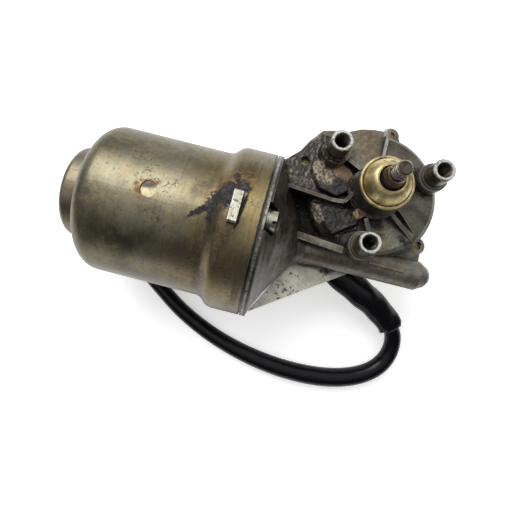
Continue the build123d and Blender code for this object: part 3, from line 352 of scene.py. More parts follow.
def chosen(obj, kind, rule):
    # leaves obj in edit mode, with the verts, edges or faces that the rule accepts selected
    bpy.ops.object.select_all(action="DESELECT")
    makeActive(obj)
    bpy.ops.object.mode_set(mode="EDIT")
    bpy.ops.mesh.select_mode(type=kind)
    bpy.ops.mesh.select_all(action="DESELECT")
    shape = bmesh.from_edit_mesh(obj.data)
    for item in {"VERT": shape.verts, "EDGE": shape.edges, "FACE": shape.faces}[kind]:
        if rule(item):
            item.select_set(True)
    bmesh.update_edit_mesh(obj.data)


smoothBelow = 35.0  # degrees
weld = 0.001 * mm


def finished(obj, name, body, material, replaced=()):
    # smooth shading, outward faces, name, material and body of a new piece; hides the solids it replaces
    chosen(obj, "VERT", lambda vertex: True)
    bpy.ops.mesh.select_all(action="SELECT")
    bpy.ops.mesh.normals_make_consistent(inside=False)
    bpy.ops.object.mode_set(mode="OBJECT")
    bpy.ops.object.shade_smooth_by_angle(angle=math.radians(smoothBelow))
    obj.name = name
    obj.data.materials.clear()
    obj.data.materials.append(material)
    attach(obj, body)
    if replaced:
        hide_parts(*replaced)


def ringedCylinder(radius, low, high, rows, sides, ends):
    # cylinder about the vertical through the origin, its wall cut into rows; millimetres
    bpy.ops.object.select_all(action="DESELECT")
    bpy.ops.mesh.primitive_cylinder_add(
        vertices=sides, radius=radius * mm, depth=(high - low) * mm, end_fill_type=ends,
        location=(0, 0, (low + high) / 2 * mm),
    )
    obj = bpy.context.object
    bpy.ops.object.transform_apply(location=True, rotation=False, scale=False)
    if rows > 1:
        chosen(obj, "EDGE", lambda edge: abs(edge.verts[0].co.z - edge.verts[1].co.z) > (high - low) / 2 * mm)
        bpy.ops.mesh.subdivide(number_cuts=rows - 1)
        bpy.ops.object.mode_set(mode="OBJECT")
    return obj


def helix(place, pitch):
    # 0 at the root of a right-hand thread about the vertical, 1 at its crest, with flats at both
    steepness = 0.7
    share = place.z / (pitch * mm) - math.atan2(place.y, place.x) / (2 * math.pi)
    return min(1.0, max(0.0, 0.5 + steepness * math.cos(2 * math.pi * share)))


def cutCopy(nodeName, name, point, normal):
    # a solid's mesh copied and welded, and cut off flat on the side the normal points to
    piece = bpy.data.objects.new(name, nodes[nodeName].data.copy())
    bpy.context.scene.collection.objects.link(piece)
    chosen(piece, "VERT", lambda vertex: True)
    bpy.ops.mesh.customdata_custom_splitnormals_clear()
    bpy.ops.mesh.remove_doubles(threshold=weld)
    bpy.ops.mesh.select_all(action="SELECT")
    bpy.ops.mesh.bisect(plane_co=point, plane_no=normal, clear_outer=True, use_fill=True)
    bpy.ops.object.mode_set(mode="OBJECT")
    return piece


def joined(first, second):
    bpy.ops.object.select_all(action="DESELECT")
    second.select_set(True)
    makeActive(first)
    bpy.ops.object.join()
    return first


def dress(nodeName, material):
    mesh = nodes[nodeName].data
    mesh.materials.clear()
    mesh.materials.append(material)


def makeActive(obj):
    bpy.context.view_layer.objects.active = obj
    obj.select_set(True)


def applied(obj, kind, **settings):
    # adds a modifier with these settings and applies it
    bpy.ops.object.select_all(action="DESELECT")
    makeActive(obj)
    modifier = obj.modifiers.new(kind.lower(), kind)
    for key, setting in settings.items():
        setattr(modifier, key, setting)
    bpy.ops.object.modifier_apply(modifier=modifier.name)


# cable
cable = {
    "points": (
        (-5.5, -33.5, -39.6), (7.6, -40.9, -39.6), (22.3, -47.4, -45.6), (36.4, -57.0, -52.6),
        (37.0, -72.6, -57.8), (26.2, -83.8, -59.4), (5.7, -90.2, -59.4), (-21.7, -90.7, -59.4),
        (-50.1, -85.4, -59.4), (-74.5, -75.5, -59.4), (-91.5, -64.2, -59.4),
        (-103.0, -56.3, -59.4), (-114.0, -52.0, -59.4),
    ),
    "thickness": (1.0, 1.0, 0.95, 0.95, 1.02, 1.12, 1.16, 1.12, 1.0, 0.95, 0.92, 0.9, 0.9),
    "radius": 4.3, "length": 230.4, "rough": 0.08, "ripple": 1.6, "shine": 0.20,
    "colour": rgb(0.004, 0.004, 0.006), "dust": rgb(0.014, 0.014, 0.014),
}
plasticWear = {
    "scuffNoise": (0.22, 5.0, 0.7), "scuffRange": (0.55, 0.85), "scuff": 0.4, "scuffRough": 0.3,
    "speckNoise": (0.9, 2.0, 0.5), "speckRange": (0.66, 0.74), "specks": 0.25,
    "rippleNoise": (0.09, 2.0, 0.5), "scuffHeight": 0.2, "bump": 0.5, "bumpDepth": 0.6,
}


def plasticMaterial(name, colour, dust, rough, ripple):
    # moulded or extruded plastic with faint ripples, scuffs and dust
    material, shader, spot = newMaterial(name)
    scuff = noise(spot, *plasticWear["scuffNoise"])
    specks = noise(spot, *plasticWear["speckNoise"]).rise(*plasticWear["speckRange"])
    dusty = scuff.rise(*plasticWear["scuffRange"]) * plasticWear["scuff"] + specks * plasticWear["specks"]
    feed(shader, dusty.tint(colour, dust), "Base Color")
    feed(shader, scuff * plasticWear["scuffRough"] + rough, "Roughness")
    relief = noise(spot, *plasticWear["rippleNoise"]) * ripple + scuff * plasticWear["scuffHeight"]
    feed(shader, bump(spot, relief, plasticWear["bump"], plasticWear["bumpDepth"] * mm), "Normal")
    return material


cableSkin = plasticMaterial("blackPvc", cable["colour"], cable["dust"], cable["rough"], cable["ripple"])
cableSkin.node_tree.nodes["Principled BSDF"].inputs["Specular IOR Level"].default_value = cable["shine"]
curve = bpy.data.curves.new("cable", "CURVE")
curve.dimensions = "3D"
spline = curve.splines.new("NURBS")
spline.points.add(len(cable["points"]) - 1)
for knot, place, share in zip(spline.points, cable["points"], cable["thickness"]):
    lift = max(0.0, share - 1.0) * cable["radius"]  # a thicker stretch still lies on the floor
    knot.co = (place[0] * mm, place[1] * mm, (place[2] + lift) * mm, 1.0)
    knot.radius = share
spline.order_u = 3
spline.use_endpoint_u = True
spline.resolution_u = 16
cord = bpy.data.objects.new("mainCable", curve)
bpy.context.scene.collection.objects.link(cord)
bareLine = bpy.data.meshes.new_from_object(cord)
routeLine = [vertex.co.copy() for vertex in bareLine.vertices]
curve.bevel_depth = cable["radius"] * mm
curve.bevel_resolution = 7
curve.use_fill_caps = True
curve.materials.append(cableSkin)

outerSleeve = {
    "length": 46.0, "step": 1.2, "sides": 40, "wide": (7.6, 6.4), "high": (5.2, 5.6), "wall": 0.7,
    "ragged": (-2.6, 1.04), "tornFrom": 0.85,
    "crease": 0.35, "creases": 3, "creaseTwist": 0.35, "creaseBeat": 0.22, "creaseHigh": 0.5,
}


def alongRoute(distance):
    # point and direction at this distance along the cable's line
    walked = 0.0
    for here, there in zip(routeLine, routeLine[1:]):
        piece = (there - here).length
        if walked + piece >= distance:
            return here.lerp(there, (distance - walked) / piece), (there - here).normalized()
        walked += piece
    return routeLine[-1], (routeLine[-1] - routeLine[-2]).normalized()


def sleeveMesh(entry):
    # flattened tube along the cable's first stretch, with a torn end
    shape = bmesh.new()
    rows = int(entry["length"] / entry["step"])
    tear = [random.uniform(*entry["ragged"]) for _ in range(entry["sides"])]
    tear = [(tear[k] + tear[k - 1]) / 2 for k in range(entry["sides"])]
    rings = []
    for row in range(rows + 1):
        share = row / rows
        centre, way = alongRoute(row * entry["step"] * mm)
        across = way.cross(Vector((0, 0, 1))).normalized()
        up = across.cross(way)
        ring = []
        for k in range(entry["sides"]):
            turn = 2 * math.pi * k / entry["sides"]
            wave = entry["crease"] * math.sin(row * entry["creaseBeat"])
            wave *= math.sin(entry["creases"] * turn + row * entry["creaseTwist"])
            wide = entry["wide"][0] + (entry["wide"][1] - entry["wide"][0]) * share + wave
            high = entry["high"][0] + (entry["high"][1] - entry["high"][0]) * share + wave * entry["creaseHigh"]
            place = centre + across * (wide * mm * math.cos(turn)) + up * (high * mm * math.sin(turn))
            torn = max(0.0, share - entry["tornFrom"]) / (1.0 - entry["tornFrom"])
            place += way * (tear[k] * mm * torn)
            ring.append(shape.verts.new(place))
        rings.append(ring)
    for low, high in zip(rings, rings[1:]):
        for k in range(entry["sides"]):
            n = (k + 1) % entry["sides"]
            shape.faces.new((low[k], low[n], high[n], high[k]))
    bmesh.ops.recalc_face_normals(shape, faces=shape.faces)
    mesh = bpy.data.meshes.new("outerSleeve")
    shape.to_mesh(mesh)
    shape.free()
    piece = bpy.data.objects.new("outerSleeve", mesh)
    bpy.context.scene.collection.objects.link(piece)
    return piece


sleeve = sleeveMesh(outerSleeve)
applied(sleeve, "SOLIDIFY", thickness=outerSleeve["wall"] * mm, offset=-1.0)
sleeve.data.materials.append(cableSkin)
sleeve.data.shade_smooth()
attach(cord, "housing")
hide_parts("cable")
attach(sleeve, "housing")
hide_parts("cable_outer_sleeve")
print("cable laid")

# motor case: yellow chromated steel, greyed by age, with an old grease smear beside the nut plate
caseLook = dict(
    plainLook, light=rgb(0.195, 0.178, 0.122), dark=rgb(0.098, 0.088, 0.056), mottle=0.75,
    mottleColour=rgb(0.25, 0.205, 0.11), cloudScale=0.05, rough=(0.29, 0.47), metal=0.93,
    streak=0.5, streakColour=rgb(0.105, 0.085, 0.055), streakSize=(0.8, 0.04, 0.04), scratch=0.35,
    pits=0.8, pitScale=0.75, pitLimit=0.64, pitPatches=(0.46, 0.64), grit=0.22, gritScale=0.7, ragged=1.4,
    grimeAndShade=0.9, grimeAndShadeReach=2.2, grimeAndShadeRange=(0.62, 0.42),
    placedMarks=(
        placedMark(
            rgb(0.235, 0.195, 0.10), rgb(0.30, 0.205, 0.07), strength=0.85, rough=0.3,
            edge=0.35, film=0.1, blobs=(((-47.0, -23.5, 8.0), (7.0, 15.0, 20.0), 0),),
        ),
        placedMark(
            rgb(0.165, 0.130, 0.062), rgb(0.21, 0.15, 0.06), strength=0.72, rough=0.34,
            edge=0.45, film=0.1, border="drawn", blobs=(((-60.0, -32.0, -6.0), (16.0, 34.0, 26.0), 0),),
        ),
        # painted highlight: a pale patch on the case's top between the pole plug and the grease smear
        placedMark(
            rgb(0.30, 0.275, 0.185), rgb(0.24, 0.21, 0.13), strength=0.34, rough=0.3,
            edge=0.6, film=0.5, border="drawn", blobs=(((-77.5, -29.5, 8.5), (9.0, 4.5, 6.0), 0),),
        ),
        # a brown film beside the grease smear, and a dark band along the case's underside that is painted shade
        placedMark(
            rgb(0.060, 0.045, 0.024), rgb(0.12, 0.085, 0.040), strength=0.75, rough=0.34,
            edge=0.5, film=0.7,
            blobs=(
                ((-68.0, -21.6, 8.5), (6.5, 3.4, 6.0), 38), ((-88.0, -57.0, -14.0), (30.0, 4.4, 8.0), 0),
            ),
        ),
        placedMark(
            rgb(0.045, 0.031, 0.018), rgb(0.105, 0.070, 0.034), strength=0.88, rough=0.36,
            edge=0.5, border="drawn", film=0.6,
            blobs=(
                ((-62.0, -35.0, 6.0), (5.0, 11.0, 14.0), -8), ((-56.5, -38.0, 8.0), (2.2, 9.0, 14.0), 0),
                ((-65.0, -45.0, 2.0), (2.6, 9.0, 12.0), 0), ((-56.0, -13.0, 9.0), (4.0, 8.0, 10.0), -35),
                ((-64.0, -55.0, -4.0), (3.0, 7.0, 9.0), 0), ((-48.5, -52.0, -4.0), (1.4, 9.0, 9.0), 0),
            ),
        ),
        placedMark(
            rgb(0.15, 0.075, 0.022), rgb(0.27, 0.17, 0.06), strength=0.62, rough=0.4,
            edge=0.5, film=0.5, fleckRange=(0.42, 0.62),
            blobs=(
                ((-59.5, -18.2, 10.0), (9.0, 4.8, 8.0), 49), ((-52.0, -17.0, 11.0), (2.6, 4.6, 8.0), 0),
                ((-92.4, -29.6, 9.0), (2.2, 2.6, 5.0), 30),
            ),
        ),
        placedMark(
            rgb(0.21, 0.095, 0.018), rgb(0.06, 0.035, 0.018), strength=0.95, rough=0.4,
            edge=0.3, film=0.8, fleckRange=(0.46, 0.56), border="fine",
            blobs=(
                ((-89.4, -25.0, 9.0), (3.4, 1.1, 5.0), 6), ((-92.6, -29.0, 9.0), (1.7, 1.6, 5.0), 0),
                ((-93.8, -26.8, 9.0), (0.9, 1.1, 5.0), 0),
            ),
        ),
        placedMark(
            rgb(0.004, 0.003, 0.003), rgb(0.075, 0.056, 0.058), strength=0.97, rough=0.55,
            edge=0.18, fleckRange=(0.48, 0.66), lumps=0.8, border="fine",
            blobs=(
                ((-60.8, -22.8, 9.5), (8.6, 3.0, 6.0), 49), ((-68.4, -31.2, 9.5), (4.8, 1.25, 6.0), 40),
                ((-58.8, -25.0, 10.0), (2.8, 4.6, 6.0), -8), ((-56.0, -19.6, 11.0), (3.2, 2.2, 6.0), 0),
                ((-53.6, -19.0, 11.5), (2.4, 2.2, 5.0), 20), ((-57.5, -15.8, 10.0), (1.5, 2.6, 5.0), 10),
                ((-64.0, -31.0, 9.5), (1.3, 4.2, 6.0), 0), ((-52.7, -27.5, 12.5), (0.7, 8.5, 5.0), -6),
            ),
        ),
        placedMark(
            rgb(0.045, 0.040, 0.034), rgb(0.06, 0.05, 0.045), strength=0.75, rough=0.4,
            edge=0.5,
            blobs=(
                ((-58.1, -47.2, 6.6), (1.6, 1.9, 3.0), 0), ((-111.6, -34.4, 7.0), (1.6, 1.4, 3.0), 0),
                ((-111.0, -46.0, 2.8), (1.2, 3.0, 3.0), 0),
            ),
        ),
        placedMark(
            rgb(0.022, 0.019, 0.016), rgb(0.05, 0.04, 0.03), strength=0.95, rough=0.45,
            edge=0.6, grains=(0.53, 0.60),
            blobs=(
                ((-81.6, -23.6, 8.6), (4.2, 2.0, 4.0), 15), ((-92.0, -21.6, 8.4), (3.2, 1.6, 4.0), 25),
                ((-84.0, -37.5, 8.0), (5.0, 1.6, 5.0), -25),
                ((-50.5, -24.0, 12.0), (3.6, 3.0, 5.0), 0), ((-96.0, -16.0, 8.0), (3.0, 2.0, 5.0), 0),
            ),
        ),
        placedMark(
            rgb(0.008, 0.008, 0.008), rgb(0.012, 0.010, 0.008), strength=1.0, rough=0.5,
            edge=0.2, blobs=(((-44.8, -29.8, -23.7), (0.95, 90.0, 90.0), 0),),
        ),
    ),
)
dress("motor_case", wornMetal("caseZinc", caseLook))
capLook = dict(
    caseLook, light=rgb(0.24, 0.215, 0.16), dark=rgb(0.17, 0.145, 0.105), grimeAndShade=0.6, grimeAndShadeReach=5.0,
    streakColour=rgb(0.12, 0.08, 0.05), streakSize=(0.06, 0.5, 0.5), placedMarks=(),
)
dress("rear_bearing_cap", wornMetal("capZinc", capLook))
print("case dressed")

# gear housing: die-cast aluminium under years of grease
greaseBlack = (rgb(0.006, 0.005, 0.005), rgb(0.030, 0.024, 0.024))
castLook = dict(
    plainLook, light=rgb(0.225, 0.222, 0.196), dark=rgb(0.105, 0.098, 0.080), mottle=0.8,
    mottleColour=rgb(0.19, 0.142, 0.078), mottleScale=0.22, cloudScale=0.07, rough=(0.34, 0.55), metal=0.7,
    grimeAndShade=0.97, grimeAndShadeReach=8.0, grimeAndShadeRange=(0.80, 0.50), grimeAndShadeRough=0.26,
    edge=0.8, wornEdgeAndGlintColour=rgb(0.34, 0.29, 0.205), streakSize=(0.5, 0.06, 0.06), ragged=1.3,
    grainScale=0.9, bump=0.6, grit=0.5, gritScale=0.8, crustScale=0.42, crustDepth=1.2,
    placedMarks=(
        placedMark(
            rgb(0.125, 0.092, 0.050), rgb(0.22, 0.175, 0.11), strength=0.85, rough=0.36,
            edge=0.35, film=0.6,
            blobs=(
                ((-8.5, 20.0, -17.5), (7.5, 10.5, 5.0), 0), ((4.0, -29.8, -14.0), (14.0, 3.0, 5.0), 0),
                ((9.0, -20.0, -18.0), (4.0, 4.0, 4.0), 0),
            ),
        ),
        placedMark(
            rgb(0.185, 0.178, 0.125), rgb(0.27, 0.26, 0.20), strength=0.75, rough=0.35,
            edge=0.35, film=0.3, blobs=(((12.0, -17.5, -19.0), (6.5, 4.5, 4.0), -20),),
        ),
        placedMark(
            rgb(0.030, 0.020, 0.012), rgb(0.22, 0.155, 0.08), strength=0.9, rough=0.30,
            edge=0.25, film=0.2, fleckRange=(0.47, 0.62), border="fine",
            blobs=(
                ((-21.1, 13.4, -15.0), (8.0, 7.4, 3.6), 0), ((-1.6, -25.6, -15.0), (8.0, 7.4, 3.6), 0),
                ((21.6, 10.8, -15.0), (7.6, 7.4, 3.6), 0), ((24.0, -17.5, -19.0), (5.5, 3.4, 5.0), 25),
                ((6.5, -16.0, -19.0), (3.4, 4.2, 3.0), 0),
            ),
        ),
        # dark greasy streaks over the funnel and the flange face; the strip along the tube beside the rib is
        # painted shade, and the funnel's foot is darker towards the bottom
        placedMark(
            rgb(0.020, 0.016, 0.012), rgb(0.070, 0.055, 0.038), strength=0.94, rough=0.30,
            edge=0.3, border="drawn", film=0.8,
            blobs=(
                ((-34.5, -16.0, -14.0), (9.0, 24.0, 34.0), 0), ((-31.0, -36.0, -24.0), (7.0, 9.0, 30.0), 0),
                ((-17.5, -29.6, -18.0), (13.0, 1.5, 8.0), -12), ((-34.0, -43.5, -25.0), (8.0, 3.6, 20.0), -10),
                ((-40.0, -20.0, -10.0), (2.6, 30.0, 30.0), 0),
            ),
        ),
        placedMark(
            rgb(0.012, 0.009, 0.008), rgb(0.065, 0.048, 0.032), strength=0.92, rough=0.28,
            edge=0.2, fleckRange=(0.50, 0.66), border="fine", lumps=0.5,
            blobs=(((-2.6, -3.4, -7.0), (11.2, 11.2, 8.0), 0),),
        ),
        placedMark(
            rgb(0.075, 0.060, 0.036), rgb(0.125, 0.100, 0.062), strength=0.75, rough=0.34,
            edge=0.35, film=0.5,
            blobs=(((8.0, -29.0, -14.0), (20.0, 3.2, 4.5), 0), ((-10.0, -33.0, -17.0), (14.0, 3.0, 5.0), 8)),
        ),
        placedMark(
            rgb(0.050, 0.038, 0.028), rgb(0.130, 0.105, 0.075), strength=0.85, rough=0.34,
            edge=0.3, fleckRange=(0.46, 0.6), film=0.7,
            blobs=(((-27.0, -7.2, -12.2), (15.0, 1.8, 3.0), -4), ((-10.5, -4.8, -11.5), (4.5, 1.8, 3.0), 50)),
        ),
        placedMark(
            *greaseBlack, strength=0.97, rough=0.16, edge=0.22, lumps=0.9, fleckRange=(0.5, 0.75),
            blobs=(
                ((-28.0, -17.5, -24.0), (13.0, 10.5, 6.5), 0), ((-9.5, -5.5, -21.0), (7.0, 5.0, 4.8), -30),
                ((-12.0, -22.0, -22.0), (9.0, 5.0, 6.0), -25), ((3.5, -11.5, -21.0), (6.0, 4.0, 6.0), -35),
                ((17.5, -17.0, -20.5), (7.0, 2.4, 4.0), -33), ((-8.2, 6.3, -17.5), (6.5, 1.6, 2.6), -35),
            ),
        ),
        placedMark(
            rgb(0.030, 0.024, 0.023), rgb(0.085, 0.062, 0.045), strength=0.94, rough=0.2,
            edge=0.2, lumps=0.8, fleckRange=(0.42, 0.66),
            blobs=(
                ((-32.5, 8.0, -16.0), (9.0, 12.0, 3.0), 20), ((-19.0, -1.5, -15.0), (11.5, 5.5, 2.2), 0),
                ((-14.0, -15.5, -15.2), (12.0, 7.5, 2.2), -20), ((-24.0, 14.0, -16.0), (8.0, 7.0, 3.0), 0),
            ),
        ),
        placedMark(
            rgb(0.17, 0.105, 0.055), rgb(0.30, 0.185, 0.11), strength=0.9, rough=0.28,
            edge=0.3, lumps=0.6,
            blobs=(((-15.8, 6.4, -14.7), (4.6, 3.4, 1.6), -15), ((-4.6, -11.6, -13.0), (2.8, 2.4, 1.6), 0),),
        ),
        # tan crust on the left, light-facing sides of the two pads: partly real crust and partly painted
        # highlight
        placedMark(
            rgb(0.10, 0.065, 0.04), rgb(0.56, 0.47, 0.35), strength=0.95, rough=0.34,
            edge=0.3, lumps=1.0, fleckRange=(0.42, 0.60),
            blobs=(
                ((-26.4, 4.0, -14.7), (3.0, 5.4, 1.6), 12), ((-22.0, 2.2, -14.7), (3.0, 3.6, 1.6), 0),
                ((-23.0, -14.0, -15.0), (2.0, 5.0, 1.8), 36),
            ),
        ),
        placedMark(
            rgb(0.10, 0.09, 0.062), rgb(0.028, 0.02, 0.016), strength=0.85, rough=0.4,
            edge=0.3, fleckRange=(0.46, 0.54), film=0.7,
            blobs=(((-38.5, 2.5, -16.9), (6.0, 4.0, 1.6), 0),),
        ),
        placedMark(
            rgb(0.36, 0.34, 0.28), rgb(0.09, 0.075, 0.055), strength=0.9, rough=0.3,
            edge=0.4, film=0.0, fleckRange=(0.42, 0.56),
            blobs=(((-43.9, -29.8, -23.7), (0.45, 90.0, 90.0), 0),),
        ),
        # black lines at the seam, and a black spot in the flange's notch beside the screw head that is painted
        # shade
        placedMark(
            rgb(0.008, 0.007, 0.006), rgb(0.02, 0.016, 0.012), strength=1.0, rough=0.4,
            edge=0.2,
            blobs=(
                ((-45.3, -29.8, -23.7), (1.05, 90.0, 90.0), 0), ((-42.7, -29.8, -23.7), (0.7, 90.0, 90.0), 0),
                ((-41.3, -25.0, 8.0), (2.0, 6.5, 6.0), 0),
            ),
        ),
        placedMark(
            rgb(0.44, 0.44, 0.40), rgb(0.30, 0.29, 0.25), strength=0.9, rough=0.3,
            edge=0.3, film=0.0, blobs=(((0.2, 21.0, -13.0), (0.9, 12.0, 3.0), 3.4),),
        ),
    ),
)
dieCast = wornMetal("dieCast", castLook)
dress("gear_housing", dieCast)
print("casting dressed")

# plate, cup, sleeves and fasteners
plateLook = dict(
    plainLook, light=rgb(0.60, 0.59, 0.51), dark=rgb(0.42, 0.41, 0.34), mottle=0.45,
    mottleColour=rgb(0.26, 0.225, 0.155), cloudScale=0.14, rough=(0.34, 0.52), metal=0.7,
    pits=0.9, pitLimit=0.585, pitScale=0.62, pitPatches=(0.40, 0.56), grimeAndShade=0.9, grimeAndShadeReach=5.0, ragged=1.6,
    placedMarks=(
        placedMark(
            rgb(0.035, 0.025, 0.018), rgb(0.16, 0.12, 0.075), strength=0.85, rough=0.35,
            edge=0.45,
            blobs=(
                ((-21.0, -36.3, -31.0), (9.0, 1.4, 4.0), 0), ((-10.5, -36.2, -31.0), (4.0, 2.2, 4.0), 0),
                ((-33.5, -40.5, -31.0), (7.0, 1.3, 4.0), 40),
            ),
        ),
    ),
)
cupLook = dict(
    plainLook, light=rgb(0.72, 0.60, 0.32), dark=rgb(0.32, 0.255, 0.12), mottle=0.6,
    mottleColour=rgb(0.22, 0.16, 0.065), cloudScale=0.11, rough=(0.38, 0.52), metal=0.90, bump=0.4, grit=0.18,
    grimeAndShade=0.28, grimeAndShadeReach=2.0, grimeAndShadeRange=(0.50, 0.30), grimeAndShadeColour=rgb(0.05, 0.04, 0.02),
    pits=0.7, pitScale=1.1, pitLimit=0.60, pitPatches=(0.40, 0.62),
    edge=0.25, wornEdgeAndGlintReach=0.5, wornEdgeAndGlintColour=rgb(0.55, 0.48, 0.30),
)
sleeveLook = dict(
    plainLook, light=rgb(0.105, 0.095, 0.070), dark=rgb(0.032, 0.026, 0.018), mottle=0.8,
    mottleColour=rgb(0.17, 0.125, 0.07), cloudScale=0.12, rough=(0.24, 0.42), metal=0.85,
    streak=0.8, streakColour=rgb(0.075, 0.05, 0.024), streakSize=(0.05, 0.05, 0.9),
    grimeAndShade=0.9, grimeAndShadeReach=5.0, grimeAndShadeRange=(0.20, 0.05), ragged=0.5, crustScale=1.1,
    placedMarks=(
        # the top face: a light band, partly bright turned metal and partly painted highlight
        placedMark(
            rgb(0.62, 0.62, 0.58), rgb(0.20, 0.19, 0.17), strength=0.95, rough=0.3,
            edge=0.25, fleckRange=(0.54, 0.60), film=0.0, blobs=(((0.0, 0.0, 0.5), (90.0, 90.0, 0.95), 0),),
        ),
    ),
)
brightLook = dict(
    plainLook, light=rgb(0.42, 0.41, 0.34), dark=rgb(0.30, 0.29, 0.235), mottle=0.4,
    mottleColour=rgb(0.22, 0.18, 0.12), mottleScale=0.6, cloudScale=0.35, rough=(0.26, 0.44),
    pits=0.9, pitScale=1.1, pitLimit=0.55, pitPatches=(0.40, 0.52), pitColour=rgb(0.055, 0.045, 0.032),
    grimeAndShade=0.9, grimeAndShadeReach=2.5, grimeAndShadeRange=(0.66, 0.40), edge=0.7, wornEdgeAndGlintColour=rgb(0.55, 0.53, 0.46),
)
brassLook = dict(
    plainLook, light=rgb(0.27, 0.24, 0.145), dark=rgb(0.19, 0.165, 0.095), rough=(0.26, 0.40), cloudScale=0.3,
    grimeAndShade=0.97, grimeAndShadeReach=1.6, grimeAndShadeRange=(0.80, 0.55), pits=0.4, pitScale=1.0, ragged=0.6,
    placedMarks=(
        # painted shadow: a dark crescent over the plug's top edge, where its recess shades it
        placedMark(
            rgb(0.030, 0.020, 0.012), rgb(0.11, 0.065, 0.025), strength=0.95, rough=0.4,
            edge=0.5, blobs=(((-89.6, -26.1, 9.0), (3.6, 1.3, 4.0), 14),),
        ),
    ),
)
# dark greasy steel; its strong bright edges and the light flecks over dark grease on the thread's left side are
# painted glints, and its darkened thread roots are painted shade
shaftLook = dict(
    plainLook, light=rgb(0.115, 0.082, 0.068), dark=rgb(0.042, 0.029, 0.026), mottle=0.5,
    mottleColour=rgb(0.15, 0.10, 0.07), cloudScale=0.2, rough=(0.16, 0.30), metal=0.8, pits=0.5, pitScale=0.7,
    grimeAndShade=0.97, grimeAndShadeReach=0.9, grimeAndShadeRange=(0.92, 0.66), grimeAndShadeRough=0.3,
    edge=1.0, wornEdgeAndGlintReach=0.45, wornEdgeAndGlintColour=rgb(0.62, 0.51, 0.38),
    placedMarks=(
        placedMark(
            rgb(0.05, 0.035, 0.025), rgb(0.46, 0.38, 0.27), strength=0.9, rough=0.25,
            edge=0.4, fleckRange=(0.50, 0.60), film=0.3, blobs=(((-2.0, 0.5, 14.5), (2.5, 3.0, 4.5), 0),),
        ),
    ),
)
dress("rear_cover", wornMetal("plateZinc", plateLook))
dress("dust_cup", wornMetal("cupZinc", cupLook))
for nodeName in ("case_nut_plates", "case_screw_washers"):
    dress(nodeName, wornMetal(nodeName + "Metal", brightLook))
dress("case_screws", wornMetal("caseScrewMetal", dict(brightLook, pits=0.35)))
goldLook = dict(
    brightLook, light=rgb(0.34, 0.25, 0.11), dark=rgb(0.13, 0.085, 0.035), wornEdgeAndGlintColour=rgb(0.5, 0.4, 0.22)
)
dress("cover_screws", wornMetal("coverScrewMetal", goldLook))
dress("pole_plugs", wornMetal("plugBrass", brassLook))
print("plate, cup and fasteners dressed")

# tapped mounting sleeves
tappedSleeve = {
    "outer": 4.7, "length": 16.0, "chamfer": 0.55, "mouth": 3.35, "mouthDepth": 0.9, "circle": 25.0,
    "minor": 2.6, "major": 3.05, "pitch": 1.0, "tapped": 12.0, "sides": 48, "rows": 96,
    "burr": 0.16, "burrDepth": 0.825, "burrSize": 900.0, "burrNoise": (0.8, 2.0, 3),
    "angles": {"tappedSleeveA": 27.7, "tappedSleeveB": 147.7, "tappedSleeveC": 267.7},
}


def makeSleeve(entry):
    # a long tube whose rings are laid along the section: up the tapped bore, over the rim and down the outside
    rows, length = entry["rows"], entry["length"]
    section = [(entry["minor"], length * (row / rows - 1.0)) for row in range(rows + 1)]
    section += [
        (entry["outer"] - entry["chamfer"], 0.0), (entry["outer"], -entry["chamfer"]),
        (entry["outer"], -length), (entry["minor"], -length),
    ]
    sleeve = ringedCylinder(entry["outer"], 0.0, len(section) - 1, len(section) - 1, entry["sides"], "NOTHING")
    for vertex in sleeve.data.vertices:
        row = round(vertex.co.z / mm)
        radius, height = section[row]
        vertex.co.z = height * mm
        if row <= rows:
            if -height < entry["tapped"]:
                radius += (entry["major"] - entry["minor"]) * helix(vertex.co, entry["pitch"])
            sunk = -height / entry["mouthDepth"]
            radius = max(radius, entry["mouth"] + (entry["minor"] - entry["mouth"]) * sunk)
        worn = 0.0
        if height > -entry["burrDepth"]:
            worn = entry["burr"] * lumps.fractal(vertex.co * entry["burrSize"], *entry["burrNoise"])
        vertex.co.z -= abs(worn) / 2 * mm
        vertex.co.xy = vertex.co.xy.normalized() * ((radius + worn) * mm)
    chosen(sleeve, "VERT", lambda vertex: True)
    bpy.ops.mesh.remove_doubles(threshold=weld)
    bpy.ops.object.mode_set(mode="OBJECT")
    return sleeve


sleeveMetal = wornMetal("sleeveSteel", sleeveLook)
pattern = makeSleeve(tappedSleeve)
for name, angle in tappedSleeve["angles"].items():
    twin = pattern.copy()
    twin.data = pattern.data.copy()
    outwards = Matrix.Translation((tappedSleeve["circle"] * mm, 0, 0))
    twin.data.transform(Matrix.Rotation(math.radians(angle), 4, "Z") @ outwards)
    bpy.context.scene.collection.objects.link(twin)
    finished(twin, name, "housing", sleeveMetal, ("mounting_sleeves",))
bpy.data.objects.remove(pattern)
print("sleeves tapped")

